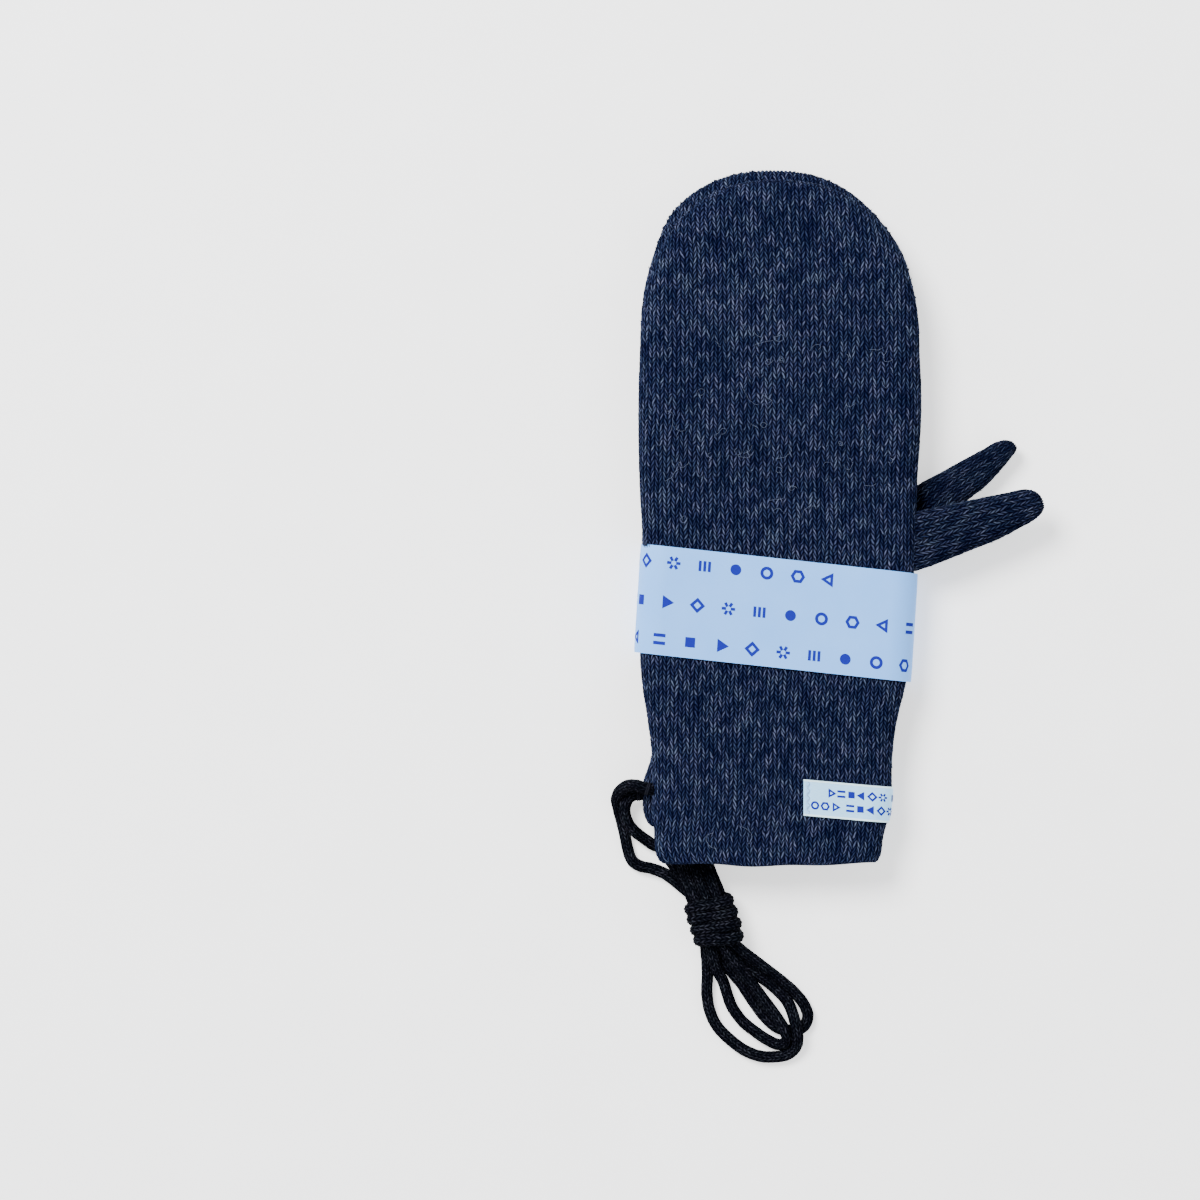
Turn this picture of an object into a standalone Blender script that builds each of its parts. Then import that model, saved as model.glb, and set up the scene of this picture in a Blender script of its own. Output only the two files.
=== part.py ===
"""A pair of knitted ski mittens on their neck cord, laid palm to palm and held in a paper band.

The pair lies on its backs: +X points to the thumbs, +Y to the fingertips and +Z up. The origin
is on the lower mitten's flat underside, at the middle of the palm. Lengths below are in
millimetres, and MM turns them into Blender's metres.
"""

import math

import bmesh
import bpy
from mathutils import Matrix, Vector

MM = 0.001
GAP = 0.3            # clear space between two pieces that touch on the real pair

# The knitted hand
KNIT_WALL = 1.6
LINING_WALL = 0.7
HEM_Y = {"upper": -178.3, "lower": -169.8}
SHIFT_Y = {"upper": 0.0, "lower": 5.0}         # the lower mitten lies a little further up
CUFF_DRIFT = {"upper": 0.0, "lower": -4.0}     # and its cuff a little to the left
CUFF_DRIFT_FROM_Y = -140.0
CUFF_DRIFT_TO_Y = -156.0
TIP_LEAN = {"upper": -0.9, "lower": -2.5}      # how far each tip leans to the left
TIP_LEAN_FROM_Y = 49.0
TIP_LEAN_TO_Y = 73.0
TIP_START_Y = 18.0
TIP_LENGTH = 66.8
TIP_ROUNDNESS = 2.3
TIP_FULLNESS = 3.0
TIP_END = 0.985      # the last section, as a share of the tip's length

# Half width and sideways drift of the hand along its length
OUTLINE = (
    # y, half width, drift
    (-170.3, 43.9, -4.4),
    (-154.0, 45.9, -3.1),
    (-138.0, 46.3, -3.0),
    (-123.0, 48.1, -2.9),
    (-109.0, 50.9, -2.3),
    (-98.0, 52.0, -1.9),
    (-82.0, 52.4, -1.4),
    (-55.0, 52.6, -0.4),
    (-30.0, 53.6, -0.6),
    (0.0, 54.4, 0.0),
    (TIP_START_Y, 53.7, 0.0),
)
HEM_CORNER = 8.0     # length of the rounded corners at the hem
HEM_TUCK = 3.4       # how far they bring the hem in

# Thickness: full over the palm, pressed flatter under the band and along the cuff
PALM_HALF_THICKNESS = 7.0
CUFF_HALF_THICKNESS = 6.0
FLATTER_FROM_Y = -12.0
FLATTER_TO_Y = -36.0
PALM_MID_Z = {"lower": 7.0, "upper": 21.3}
CUFF_MID_Z = {"lower": 6.8, "upper": 19.1}

# The thumb: a tapered tube, hinged where it meets the edge of the hand
THUMB_ROOT_X = 54.3
THUMB_ROOT_Y = {"upper": -53.7, "lower": -49.7}
THUMB_ANGLE = {"upper": 16.7, "lower": 34.0}   # degrees from +X, as the pair lies
THUMB_SWING = (16.0, 53.0)                     # the angles that the opening leaves room for
THUMB_BACK = 8.0
THUMB_LENGTH = {"upper": 49.5, "lower": 47.0}
THUMB_TIP_LENGTH = 7.5
THUMB_ROOT_HALF_WIDTH = 10.8
THUMB_END_HALF_WIDTH = 7.0
THUMB_HALF_THICKNESS = 4.8
THUMB_SEAM_FROM_ROOT = 4.5
THUMB_SEAM_RADIUS = 0.45

# The seam that closes the fingertips, inside the tip
TIP_SEAM_RADIUS = 0.8
TIP_SEAM_INSET = 4.0
TIP_SEAM_HALF_WIDTH = 14.0
LINING_TIP_INSET = 5.6

# The paper band
BAND_CENTRE = (-1.35, -82.0)
BAND_TILT = -3.6     # of its sides; its edges slope further, as paper wound slightly askew
BAND_SKEW = 0.0454
BAND_WIDTH = 108.4
BAND_HEIGHT = 41.8
BAND_TOP_Z = 26.6
BAND_CORNER = 7.5
PAPER = 0.4

# The woven label, folded round the thumb-side edge of the upper cuff
LABEL_START_X = 8.8
LABEL_TOP_Y = -145.8
LABEL_HEIGHT = 13.9
LABEL_SLOPE = 0.09
LABEL_WRAP = 150.0
LABEL_THICKNESS = 0.5
STITCH_RADIUS = 0.25
STITCH_INSET = 1.6
STITCH_PITCH = 1.6

# The knitted neck cord
CORD_RADIUS = 2.1
TACK_RADIUS = 0.5

# Centre line of the cord from each mitten to the hank
UPPER_CORD_ROUTE = (
    (-50.1, -149.8, 19.1), (-52.6, -149.2, 18.9), (-55.4, -148.4, 17.4), (-58.7, -148.7, 14.2),
    (-61.5, -150.9, 9.8), (-62.9, -154.4, 5.4), (-62.0, -158.8, 2.8), (-60.8, -163.4, 2.2),
    (-59.6, -168.6, 2.2), (-58.5, -174.0, 2.2), (-56.8, -178.4, 2.2), (-53.5, -180.6, 2.2),
    (-49.3, -181.5, 2.2), (-45.4, -182.9, 2.2), (-42.6, -184.5, 2.2), (-39.6, -186.4, 2.2),
)
LOWER_CORD_ROUTE = (
    (-53.6, -152.5, 6.8), (-56.2, -152.7, 6.8), (-58.7, -154.6, 6.7), (-59.7, -158.6, 6.5),
    (-58.7, -162.9, 5.9), (-56.2, -166.5, 4.4), (-52.7, -169.4, 3.0), (-48.9, -172.1, 2.3),
    (-45.0, -174.6, 2.2), (-42.2, -176.3, 2.2),
)

# The hank's outer shape, seen from above, and the height of each stretch of it
HANK_FLOOR = 0.1
HANK_NECK = (
    (-39.8, -174.4), (-40.2, -179.0), (-38.2, -184.4), (-36.0, -188.2), (-29.4, -189.6),
    (-23.2, -188.6), (-25.2, -184.8), (-27.8, -179.0), (-28.8, -174.4), (-34.2, -173.2),
)
HANK_NECK_TOP = 12.2
HANK_KNOT = (
    (-35.8, -192.6), (-34.8, -197.0), (-34.2, -202.6), (-33.6, -208.0), (-30.4, -211.8), (-24.4, -213.2),
    (-18.2, -210.6), (-15.2, -205.4), (-15.6, -199.4), (-20.6, -192.6), (-28.4, -190.6),
)
HANK_KNOT_TOP = 17.0
HANK_LOOPS = (
    (-28.6, -215.6), (-30.0, -224.0), (-29.4, -234.0), (-24.4, -246.0), (-13.6, -254.8),
    (-2.4, -256.8), (5.0, -253.4), (9.0, -248.6), (12.8, -243.6), (13.8, -237.6),
    (9.6, -229.6), (0.6, -221.0), (-10.6, -212.8), (-16.4, -213.2), (-22.4, -214.8),
)
HANK_LOOPS_TOP = 8.8

KNIT = ("charcoal_knit", (0.020, 0.030, 0.065), 0.95)
LINING = ("dark_lining", (0.030, 0.032, 0.040), 0.95)
THREAD = ("dark_thread", (0.012, 0.014, 0.024), 0.8)
PAPER_WHITE = ("band_paper", (0.62, 0.72, 0.86), 0.6)
SATIN = ("label_satin", (0.66, 0.79, 0.92), 0.45)
LABEL_THREAD = ("label_thread", (0.55, 0.62, 0.72), 0.7)
CORD_KNIT = ("black_cord", (0.006, 0.007, 0.011), 0.9)

SIDE_STEPS = 6       # facets round each edge of a section
FLAT_STEPS = 3       # facets across each of its flats


def clear_scene():
    for old in list(bpy.data.objects):
        bpy.data.objects.remove(old, do_unlink=True)


def new_collection(name):
    collection = bpy.data.collections.new(name)
    bpy.context.scene.collection.children.link(collection)
    return collection


def material(spec):
    """The material of that name, made the first time it is asked for."""
    name, colour, roughness = spec
    found = bpy.data.materials.get(name)
    if found:
        return found
    made = bpy.data.materials.new(name)
    made.use_nodes = True
    shader = made.node_tree.nodes["Principled BSDF"]
    shader.inputs["Base Color"].default_value = (*colour, 1.0)
    shader.inputs["Roughness"].default_value = roughness
    shader.inputs["Metallic"].default_value = 0.0
    return made


def add_object(name, data, spec):
    made = bpy.data.objects.new(name, data)
    PARTS.objects.link(made)
    data.materials.append(material(spec))
    return made


def between(stations, at, column):
    """The stations' value at this place, on a smooth curve through them."""
    last = len(stations) - 1
    if at <= stations[0][0]:
        return stations[0][column]
    if at >= stations[last][0]:
        return stations[last][column]
    i = next(k for k in range(last) if stations[k + 1][0] >= at)
    before, low, high, after = (stations[min(max(k, 0), last)] for k in (i - 1, i, i + 1, i + 2))
    span = high[0] - low[0]
    t = (at - low[0]) / span
    slope_low = (high[column] - before[column]) / (high[0] - before[0]) * span
    slope_high = (after[column] - low[column]) / (after[0] - low[0]) * span
    return (
        (2 * t**3 - 3 * t**2 + 1) * low[column]
        + (t**3 - 2 * t**2 + t) * slope_low
        + (3 * t**2 - 2 * t**3) * high[column]
        + (t**3 - t**2) * slope_high
    )


def ease(t):
    t = min(max(t, 0.0), 1.0)
    return t * t * (3 - 2 * t)


def rounded(share, exponent):
    """Height of a superellipse's quarter at this share of its length."""
    return (1 - share**exponent) ** (1 / exponent)


def stadium(half_width, half_height):
    """A section with half-round edges and flat faces, as (x, z) pairs, anticlockwise."""
    flat = max(half_width - half_height, 0.0)
    points = []
    for side in (1, -1):
        for step in range(SIDE_STEPS + 1):
            angle = math.radians(-90 + 180 * step / SIDE_STEPS)
            points.append((side * (flat + half_height * math.cos(angle)), side * half_height * math.sin(angle)))
        for step in range(1, FLAT_STEPS):
            points.append((side * flat * (1 - 2 * step / FLAT_STEPS), side * half_height))
    return points


def loft(name, rings, spec, close_end=True):
    """A surface through rings of equal length, left open at the first."""
    bm = bmesh.new()
    rows = [[bm.verts.new(Vector(point) * MM) for point in ring] for ring in rings]
    for near, far in zip(rows, rows[1:]):
        for i in range(len(near)):
            j = (i + 1) % len(near)
            bm.faces.new((near[i], near[j], far[j], far[i]))
    if close_end:
        bm.faces.new(rows[-1])
    bmesh.ops.recalc_face_normals(bm, faces=bm.faces)
    mesh = bpy.data.meshes.new(name)
    bm.to_mesh(mesh)
    bm.free()
    mesh.shade_smooth()
    mesh.set_sharp_from_angle(angle=math.radians(50))
    return add_object(name, mesh, spec)


def thicken(made, wall, offset=-1.0):
    solid = made.modifiers.new("wall", "SOLIDIFY")
    solid.thickness = wall * MM
    solid.offset = offset
    return made


def tube(name, points, radius, spec, closed=False):
    """A round tube on a chain of points."""
    curve = bpy.data.curves.new(name, "CURVE")
    curve.dimensions = "3D"
    curve.bevel_depth = radius * MM
    curve.bevel_resolution = 2
    curve.use_fill_caps = not closed
    spline = curve.splines.new("POLY")
    spline.points.add(len(points) - 1)
    for spot, point in zip(spline.points, points):
        spot.co = (*(Vector(point) * MM), 1.0)
    spline.use_cyclic_u = closed
    return add_object(name, curve, spec)


# ---------------------------------------------------------------- the hands

def half_width(side, y):
    """Half the hand's width at y, with the rounded corners of the hem."""
    tuck = max(0.0, 1 - (y - HEM_Y[side]) / HEM_CORNER)
    return between(OUTLINE, y, 1) - HEM_TUCK * (1 - math.sqrt(1 - min(tuck, 1.0) ** 2))


def drift(side, y):
    """How far the hand's middle lies off the Y axis."""
    towards_cuff = ease((CUFF_DRIFT_FROM_Y - y) / (CUFF_DRIFT_FROM_Y - CUFF_DRIFT_TO_Y))
    towards_tip = ease((y - TIP_LEAN_FROM_Y) / (TIP_LEAN_TO_Y - TIP_LEAN_FROM_Y))
    return between(OUTLINE, y, 2) + CUFF_DRIFT[side] * towards_cuff + TIP_LEAN[side] * towards_tip


def flatter(y):
    return ease((FLATTER_FROM_Y - y) / (FLATTER_FROM_Y - FLATTER_TO_Y))


def half_thickness(y):
    share = flatter(y)
    return PALM_HALF_THICKNESS * (1 - share) + CUFF_HALF_THICKNESS * share


def mid_z(side, y):
    share = flatter(y)
    return PALM_MID_Z[side] * (1 - share) + CUFF_MID_Z[side] * share


def hand_ring(side, y, inset):
    centre = drift(side, y)
    section = stadium(half_width(side, y) - inset, half_thickness(y) - inset)
    return [(centre + x, y, mid_z(side, y) + z) for x, z in section]


def tip_ring(side, share, inset, tip_inset):
    width = (between(OUTLINE, TIP_START_Y, 1) - inset) * rounded(share, TIP_ROUNDNESS)
    thickness = (PALM_HALF_THICKNESS - inset) * rounded(share, TIP_FULLNESS)
    y = TIP_START_Y + (TIP_LENGTH - tip_inset) * share
    section = stadium(width, min(thickness, width))
    return [(drift(side, y) + x, y, PALM_MID_Z[side] + z) for x, z in section]


def spaced(start, end, steps):
    """Evenly spaced values from start up to, and without, end."""
    return [start + (end - start) * k / steps for k in range(steps)]


def hand_levels(side, inset):
    """Where the sections stand: the lining starts above the knit's rounded hem."""
    hem = HEM_Y[side]
    levels = [hem, hem + 2.5] if inset == 0 else []
    levels += spaced(hem + HEM_CORNER, FLATTER_TO_Y, 8)
    levels += spaced(FLATTER_TO_Y, FLATTER_FROM_Y, 4)
    levels += spaced(FLATTER_FROM_Y, TIP_START_Y, 3)
    return levels


def make_hand(side, part, inset, tip_inset, wall, spec):
    """One layer of a mitten's hand, from the hem to the closed fingertips, cut for its thumb."""
    rings = [hand_ring(side, y, inset) for y in hand_levels(side, inset)]
    shares = [math.sin(math.radians(90 * k / 6)) for k in range(6)] + [TIP_END]
    rings += [tip_ring(side, share, inset, tip_inset) for share in shares]
    made = thicken(loft(f"{side}_{part}", rings, spec), wall)
    made.location.y = SHIFT_Y[side] * MM
    cut = made.modifiers.new("thumb_opening", "BOOLEAN")
    cut.operation = "DIFFERENCE"
    cut.solver = "EXACT"
    cut.object = CUTTERS.objects[f"{side}_thumb_opening"]
    return made


def make_tip_seam(side):
    """The chain of stitches that closes the fingertips, on the inside."""
    steps = 8
    length = TIP_LENGTH - TIP_SEAM_INSET
    width = between(OUTLINE, TIP_START_Y, 1) - TIP_SEAM_INSET
    points = []
    for k in range(steps + 1):
        x = TIP_SEAM_HALF_WIDTH * (2 * k / steps - 1)
        y = TIP_START_Y + length * rounded(abs(x) / width, TIP_ROUNDNESS)
        points.append((drift(side, y) + x, y, PALM_MID_Z[side]))
    made = tube(f"{side}_tip_seam", points, TIP_SEAM_RADIUS, THREAD)
    made.location.y = SHIFT_Y[side] * MM


# ---------------------------------------------------------------- the thumbs

def thumb_place(side):
    y = THUMB_ROOT_Y[side]
    return Vector((THUMB_ROOT_X, y + SHIFT_Y[side], mid_z(side, y)))


def add_thumb_axis(side):
    """An empty on the thumb's hinge, turned to the angle at which the thumb lies."""
    axis = bpy.data.objects.new(f"{side}_thumb_axis", None)
    PARTS.objects.link(axis)
    axis.location = thumb_place(side) * MM
    axis.rotation_euler.z = math.radians(THUMB_ANGLE[side])
    return axis


def add_thumb_opening(side):
    """The fan that the thumb's root sweeps, as a cutter for the hand and its lining."""
    clearance = GAP + 0.1
    reach = 40.0
    out = THUMB_ROOT_HALF_WIDTH + clearance
    back = THUMB_BACK + clearance
    first, last = (math.radians(angle) for angle in THUMB_SWING)
    corner = math.hypot(out, back)
    overhang = math.atan2(back, out)
    start = Vector((math.cos(first), math.sin(first)))
    end = Vector((math.cos(last), math.sin(last)))
    outline = [start * reach + Vector((start.y, -start.x)) * out]
    outline.append(end * reach + Vector((-end.y, end.x)) * out)
    outline.append(Vector((-end.y, end.x)) * out)
    turn_from = first + math.pi / 2 + overhang
    turn_to = last + 1.5 * math.pi - overhang
    for k in range(13):
        angle = turn_from + (turn_to - turn_from) * k / 12
        outline.append(Vector((math.cos(angle), math.sin(angle))) * corner)
    outline.append(Vector((start.y, -start.x)) * out)

    curve = bpy.data.curves.new(f"{side}_thumb_opening", "CURVE")
    curve.dimensions = "2D"
    curve.fill_mode = "BOTH"
    curve.extrude = (THUMB_HALF_THICKNESS + GAP) * MM
    spline = curve.splines.new("POLY")
    spline.points.add(len(outline) - 1)
    for spot, point in zip(spline.points, outline):
        spot.co = (point.x * MM, point.y * MM, 0.0, 1.0)
    spline.use_cyclic_u = True
    flat = bpy.data.objects.new(f"{side}_thumb_outline", curve)
    bpy.context.scene.collection.objects.link(flat)

    mesh = bpy.data.meshes.new_from_object(flat.evaluated_get(bpy.context.evaluated_depsgraph_get()))
    bm = bmesh.new()
    bm.from_mesh(mesh)
    bmesh.ops.remove_doubles(bm, verts=bm.verts, dist=1e-6)
    bmesh.ops.recalc_face_normals(bm, faces=bm.faces)
    bm.to_mesh(mesh)
    bm.free()
    bpy.data.objects.remove(flat)
    cutter = bpy.data.objects.new(f"{side}_thumb_opening", mesh)
    CUTTERS.objects.link(cutter)
    cutter.location = thumb_place(side) * MM
    cutter.hide_render = True
    cutter.display_type = "WIRE"


def thumb_half_width(side, along):
    taper = along / (THUMB_LENGTH[side] - THUMB_TIP_LENGTH)
    return THUMB_ROOT_HALF_WIDTH + (THUMB_END_HALF_WIDTH - THUMB_ROOT_HALF_WIDTH) * max(taper, 0.0)


def thumb_ring(along, width, thickness):
    return [(along, y, z) for y, z in stadium(width, min(thickness, width))]


def make_thumb(side, part, inset, wall, spec, axis):
    """One layer of a thumb: a tube open at the root and closed at the tip."""
    thickness = THUMB_HALF_THICKNESS - inset
    straight = THUMB_LENGTH[side] - THUMB_TIP_LENGTH
    rings = []
    for along in spaced(inset * 0.3 - THUMB_BACK, straight, 6):
        rings.append(thumb_ring(along, thumb_half_width(side, along) - inset, thickness))
    for share in [math.sin(math.radians(90 * k / 4)) for k in range(4)] + [TIP_END]:
        width = (THUMB_END_HALF_WIDTH - inset) * rounded(share, TIP_ROUNDNESS)
        high = thickness * rounded(share, TIP_FULLNESS)
        rings.append(thumb_ring(straight + (THUMB_TIP_LENGTH - inset) * share, width, high))
    made = thicken(loft(f"{side}_{part}", rings, spec), wall)
    made.parent = axis


def make_thumb_seam(side, axis):
    """The ring of linking stitches round the thumb's root."""
    stand_off = GAP + THUMB_SEAM_RADIUS
    width = THUMB_ROOT_HALF_WIDTH + stand_off
    ring = thumb_ring(THUMB_SEAM_FROM_ROOT, width, THUMB_HALF_THICKNESS + stand_off)
    made = tube(f"{side}_thumb_seam", ring, THUMB_SEAM_RADIUS, THREAD, closed=True)
    made.parent = axis


# ---------------------------------------------------------------- band and label

def make_band():
    """A loop of paper round both mittens, a rounded rectangle in section."""
    half_height = BAND_TOP_Z / 2
    flat_x = BAND_WIDTH / 2 - BAND_CORNER
    flat_z = half_height - BAND_CORNER
    section = []
    for quarter, (sign_x, sign_z) in enumerate(((1, 1), (-1, 1), (-1, -1), (1, -1))):
        for step in range(6):
            angle = math.radians(90 * quarter + 90 * step / 5)
            section.append(
                (sign_x * flat_x + BAND_CORNER * math.cos(angle), sign_z * flat_z + BAND_CORNER * math.sin(angle))
            )
    edges = (-BAND_HEIGHT / 2, BAND_HEIGHT / 2)
    rings = [[(x, y - BAND_SKEW * x, z) for x, z in section] for y in edges]
    made = thicken(loft("paper_band", rings, PAPER_WHITE, close_end=False), PAPER)
    made.location = Vector((*BAND_CENTRE, half_height)) * MM
    made.rotation_euler.z = math.radians(BAND_TILT)


def cuff_surface(along, y, stand_off):
    """A point over the upper cuff: along runs from the label's start, over the edge and under it."""
    half = half_width("upper", y) + stand_off
    high = CUFF_HALF_THICKNESS + stand_off
    edge_x = drift("upper", y) + half - high
    flat = edge_x - LABEL_START_X
    middle = CUFF_MID_Z["upper"]
    if along <= flat:
        return Vector((LABEL_START_X + along, y, middle + high))
    angle = (along - flat) / high
    return Vector((edge_x + high * math.sin(angle), y, middle + high * math.cos(angle)))


def label_length():
    y = LABEL_TOP_Y - LABEL_HEIGHT / 2
    edge = drift("upper", y) + half_width("upper", y) - CUFF_HALF_THICKNESS
    return edge - LABEL_START_X + math.radians(LABEL_WRAP) * CUFF_HALF_THICKNESS


def label_point(along, down, stand_off):
    """A point of the label: down runs from its top edge to its bottom edge."""
    return cuff_surface(along, LABEL_TOP_Y - down - LABEL_SLOPE * along, stand_off)


def make_label():
    length = label_length()
    places = [length * share for share in (0, 0.2, 0.4, 0.55, 0.62, 0.68, 0.74, 0.8, 0.86, 0.93, 1)]
    bm = bmesh.new()
    rows = []
    for down in (0.0, LABEL_HEIGHT / 2, LABEL_HEIGHT):
        rows.append([bm.verts.new(label_point(along, down, GAP) * MM) for along in places])
    for upper, lower in zip(rows, rows[1:]):
        for i in range(len(places) - 1):
            bm.faces.new((upper[i], lower[i], lower[i + 1], upper[i + 1]))
    mesh = bpy.data.meshes.new("woven_label")
    bm.to_mesh(mesh)
    bm.free()
    thicken(add_object("woven_label", mesh, SATIN), LABEL_THICKNESS, offset=1.0)


def make_label_stitches(name, along):
    """One zigzag row of thread across the label."""
    stand_off = GAP + LABEL_THICKNESS + GAP + STITCH_RADIUS
    steps = round((LABEL_HEIGHT - 2) / STITCH_PITCH)
    points = []
    for k in range(steps + 1):
        down = 1.0 + (LABEL_HEIGHT - 2) * k / steps
        sideways = 0.35 if k % 2 else -0.35
        points.append(label_point(along + sideways, down, stand_off))
    tube(name, points, STITCH_RADIUS, LABEL_THREAD)


# ---------------------------------------------------------------- the neck cord

def make_tack(name, route):
    """The whipping that holds the cord's end to the cuff."""
    along = (Vector(route[1]) - Vector(route[0])).normalized()
    centre = Vector(route[0]) + along * (TACK_RADIUS + 0.6)
    ring = CORD_RADIUS + GAP + TACK_RADIUS
    bpy.ops.mesh.primitive_torus_add(
        major_segments=16, minor_segments=8, major_radius=ring * MM, minor_radius=TACK_RADIUS * MM
    )
    made = bpy.context.object
    made.name = name
    made.data.materials.append(material(THREAD))
    made.location = centre * MM
    made.rotation_euler = along.to_track_quat("Z", "Y").to_euler()
    for home in list(made.users_collection):
        home.objects.unlink(made)
    PARTS.objects.link(made)


def make_hank(name, outline, top):
    """The outer shape of one stretch of the hank, on a smooth closed outline."""
    curve = bpy.data.curves.new(name, "CURVE")
    curve.dimensions = "2D"
    curve.fill_mode = "BOTH"
    curve.resolution_u = 3
    curve.extrude = (top - HANK_FLOOR) / 2 * MM
    spline = curve.splines.new("BEZIER")
    spline.bezier_points.add(len(outline) - 1)
    for spot, (x, y) in zip(spline.bezier_points, outline):
        spot.co = (x * MM, y * MM, 0.0)
        spot.handle_left_type = spot.handle_right_type = "AUTO"
    spline.use_cyclic_u = True
    made = add_object(name, curve, CORD_KNIT)
    made.location.z = (top + HANK_FLOOR) / 2 * MM


def make_cord():
    tube("cord_run_upper", UPPER_CORD_ROUTE, CORD_RADIUS, CORD_KNIT)
    tube("cord_run_lower", LOWER_CORD_ROUTE, CORD_RADIUS, CORD_KNIT)
    make_tack("cord_tack_upper", UPPER_CORD_ROUTE)
    make_tack("cord_tack_lower", LOWER_CORD_ROUTE)
    make_hank("cord_hank_neck", HANK_NECK, HANK_NECK_TOP)
    make_hank("cord_hank_knot", HANK_KNOT, HANK_KNOT_TOP)
    make_hank("cord_hank_loops", HANK_LOOPS, HANK_LOOPS_TOP)


def make_mitten(side):
    add_thumb_opening(side)
    inset = KNIT_WALL + GAP
    make_hand(side, "hand_shell", 0.0, 0.0, KNIT_WALL, KNIT)
    make_hand(side, "hand_lining", inset, LINING_TIP_INSET, LINING_WALL, LINING)
    make_tip_seam(side)
    axis = add_thumb_axis(side)
    make_thumb(side, "thumb_shell", 0.0, KNIT_WALL, KNIT, axis)
    make_thumb(side, "thumb_lining", inset, LINING_WALL, LINING, axis)
    make_thumb_seam(side, axis)


clear_scene()
PARTS = new_collection("ski_mitten_pair")
CUTTERS = new_collection("cutters")
make_mitten("lower")
make_mitten("upper")
make_band()
make_label()
make_label_stitches("label_stitch_front", STITCH_INSET)
make_label_stitches("label_stitch_back", label_length() - STITCH_INSET)
make_cord()
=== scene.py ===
"""The looks of a pair of knitted ski mittens: knit, paper band, woven label and neck cord.

Every surface is worked out here in the row frame: +X to the thumbs, +Y to the fingertips and +Z
up, with the origin on the lower mitten's underside at the middle of the palm. Lengths are in
millimetres until a mesh is made, and MM turns them into Blender's metres.
"""

import math

import bpy
import numpy as np
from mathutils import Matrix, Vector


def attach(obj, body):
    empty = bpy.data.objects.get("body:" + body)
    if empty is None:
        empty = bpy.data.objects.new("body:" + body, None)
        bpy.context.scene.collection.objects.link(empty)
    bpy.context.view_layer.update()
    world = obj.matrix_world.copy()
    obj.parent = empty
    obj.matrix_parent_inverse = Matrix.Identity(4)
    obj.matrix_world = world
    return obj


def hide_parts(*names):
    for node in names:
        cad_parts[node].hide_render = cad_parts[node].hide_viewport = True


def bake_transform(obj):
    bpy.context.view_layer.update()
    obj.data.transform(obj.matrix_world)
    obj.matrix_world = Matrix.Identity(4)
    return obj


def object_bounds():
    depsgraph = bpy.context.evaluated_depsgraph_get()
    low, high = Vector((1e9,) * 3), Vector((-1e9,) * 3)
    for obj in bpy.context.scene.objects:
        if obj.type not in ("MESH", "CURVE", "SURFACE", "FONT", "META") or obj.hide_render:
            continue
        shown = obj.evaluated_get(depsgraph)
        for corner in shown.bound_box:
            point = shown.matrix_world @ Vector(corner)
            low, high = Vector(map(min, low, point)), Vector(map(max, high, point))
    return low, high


MM = 0.001

# The hand's outline, as the frame's own solids have it
HEM_Y = {"upper": -178.3, "lower": -169.8}
SHIFT_Y = {"upper": 0.0, "lower": 5.0}
CUFF_DRIFT = {"upper": 0.0, "lower": -4.0}
CUFF_DRIFT_FROM_Y = -140.0
CUFF_DRIFT_TO_Y = -156.0
TIP_LEAN = {"upper": -0.9, "lower": -2.5}
TIP_LEAN_FROM_Y = 49.0
TIP_LEAN_TO_Y = 73.0
TIP_START_Y = 18.0
TIP_LENGTH = 66.8
TIP_ROUNDNESS = 2.3
OUTLINE = (
    # y, half width, drift
    (-170.3, 43.9, -4.4),
    (-154.0, 45.9, -3.1),
    (-138.0, 46.3, -3.0),
    (-123.0, 48.1, -2.9),
    (-109.0, 50.9, -2.3),
    (-98.0, 52.0, -1.9),
    (-82.0, 52.4, -1.4),
    (-55.0, 52.6, -0.4),
    (-30.0, 53.6, -0.6),
    (0.0, 54.4, 0.0),
    (TIP_START_Y, 53.7, 0.0),
)
HEM_CORNER = 8.0
HEM_TUCK = 3.4
PALM_HALF_THICKNESS = 7.0
CUFF_HALF_THICKNESS = 6.0
PALM_MID_Z = {"lower": 7.0, "upper": 21.3}
CUFF_MID_Z = {"lower": 6.8, "upper": 19.1}
FLATTER_FROM_Y = -12.0
FLATTER_TO_Y = -36.0
EDGE_ROLL = 11.0           # how far in from the outline the hand starts to round off
EDGE_ROUNDNESS = 2.2

THUMB_ROOT_X = 54.3
THUMB_ROOT_Y = {"upper": -53.7, "lower": -49.7}
THUMB_ANGLE = {"upper": 16.7, "lower": 34.0}
THUMB_BACK = 8.0
THUMB_LENGTH = {"upper": 49.5, "lower": 47.0}
THUMB_TIP_LENGTH = 10.0
THUMB_ROOT_HALF_WIDTH = 11.1
THUMB_END_HALF_WIDTH = 7.6
THUMB_CUT_AWAY = {"upper": 0.32, "lower": 0.6}   # how far the tip's lower side slants in
THUMB_LEAN = {"upper": 0.0, "lower": 0.21}       # how far the whole thumb narrows to its upper side
THUMB_LEAN_BY = 18.0
THUMB_HALF_THICKNESS = 4.8
THUMB_ROOT_HALF_THICKNESS = 2.0
THUMB_SWELL_FROM = -3.0    # where the root starts to thicken, and over what length
THUMB_SWELL_LENGTH = 10.0
THUMB_ROLL = 5.0
THUMB_SEAM_AT = 1.6        # the ring of stitches round the thumb's root
THUMB_BEND = (-3.0, 8.0)   # the stretch of the thumb that bends when it swings

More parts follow.
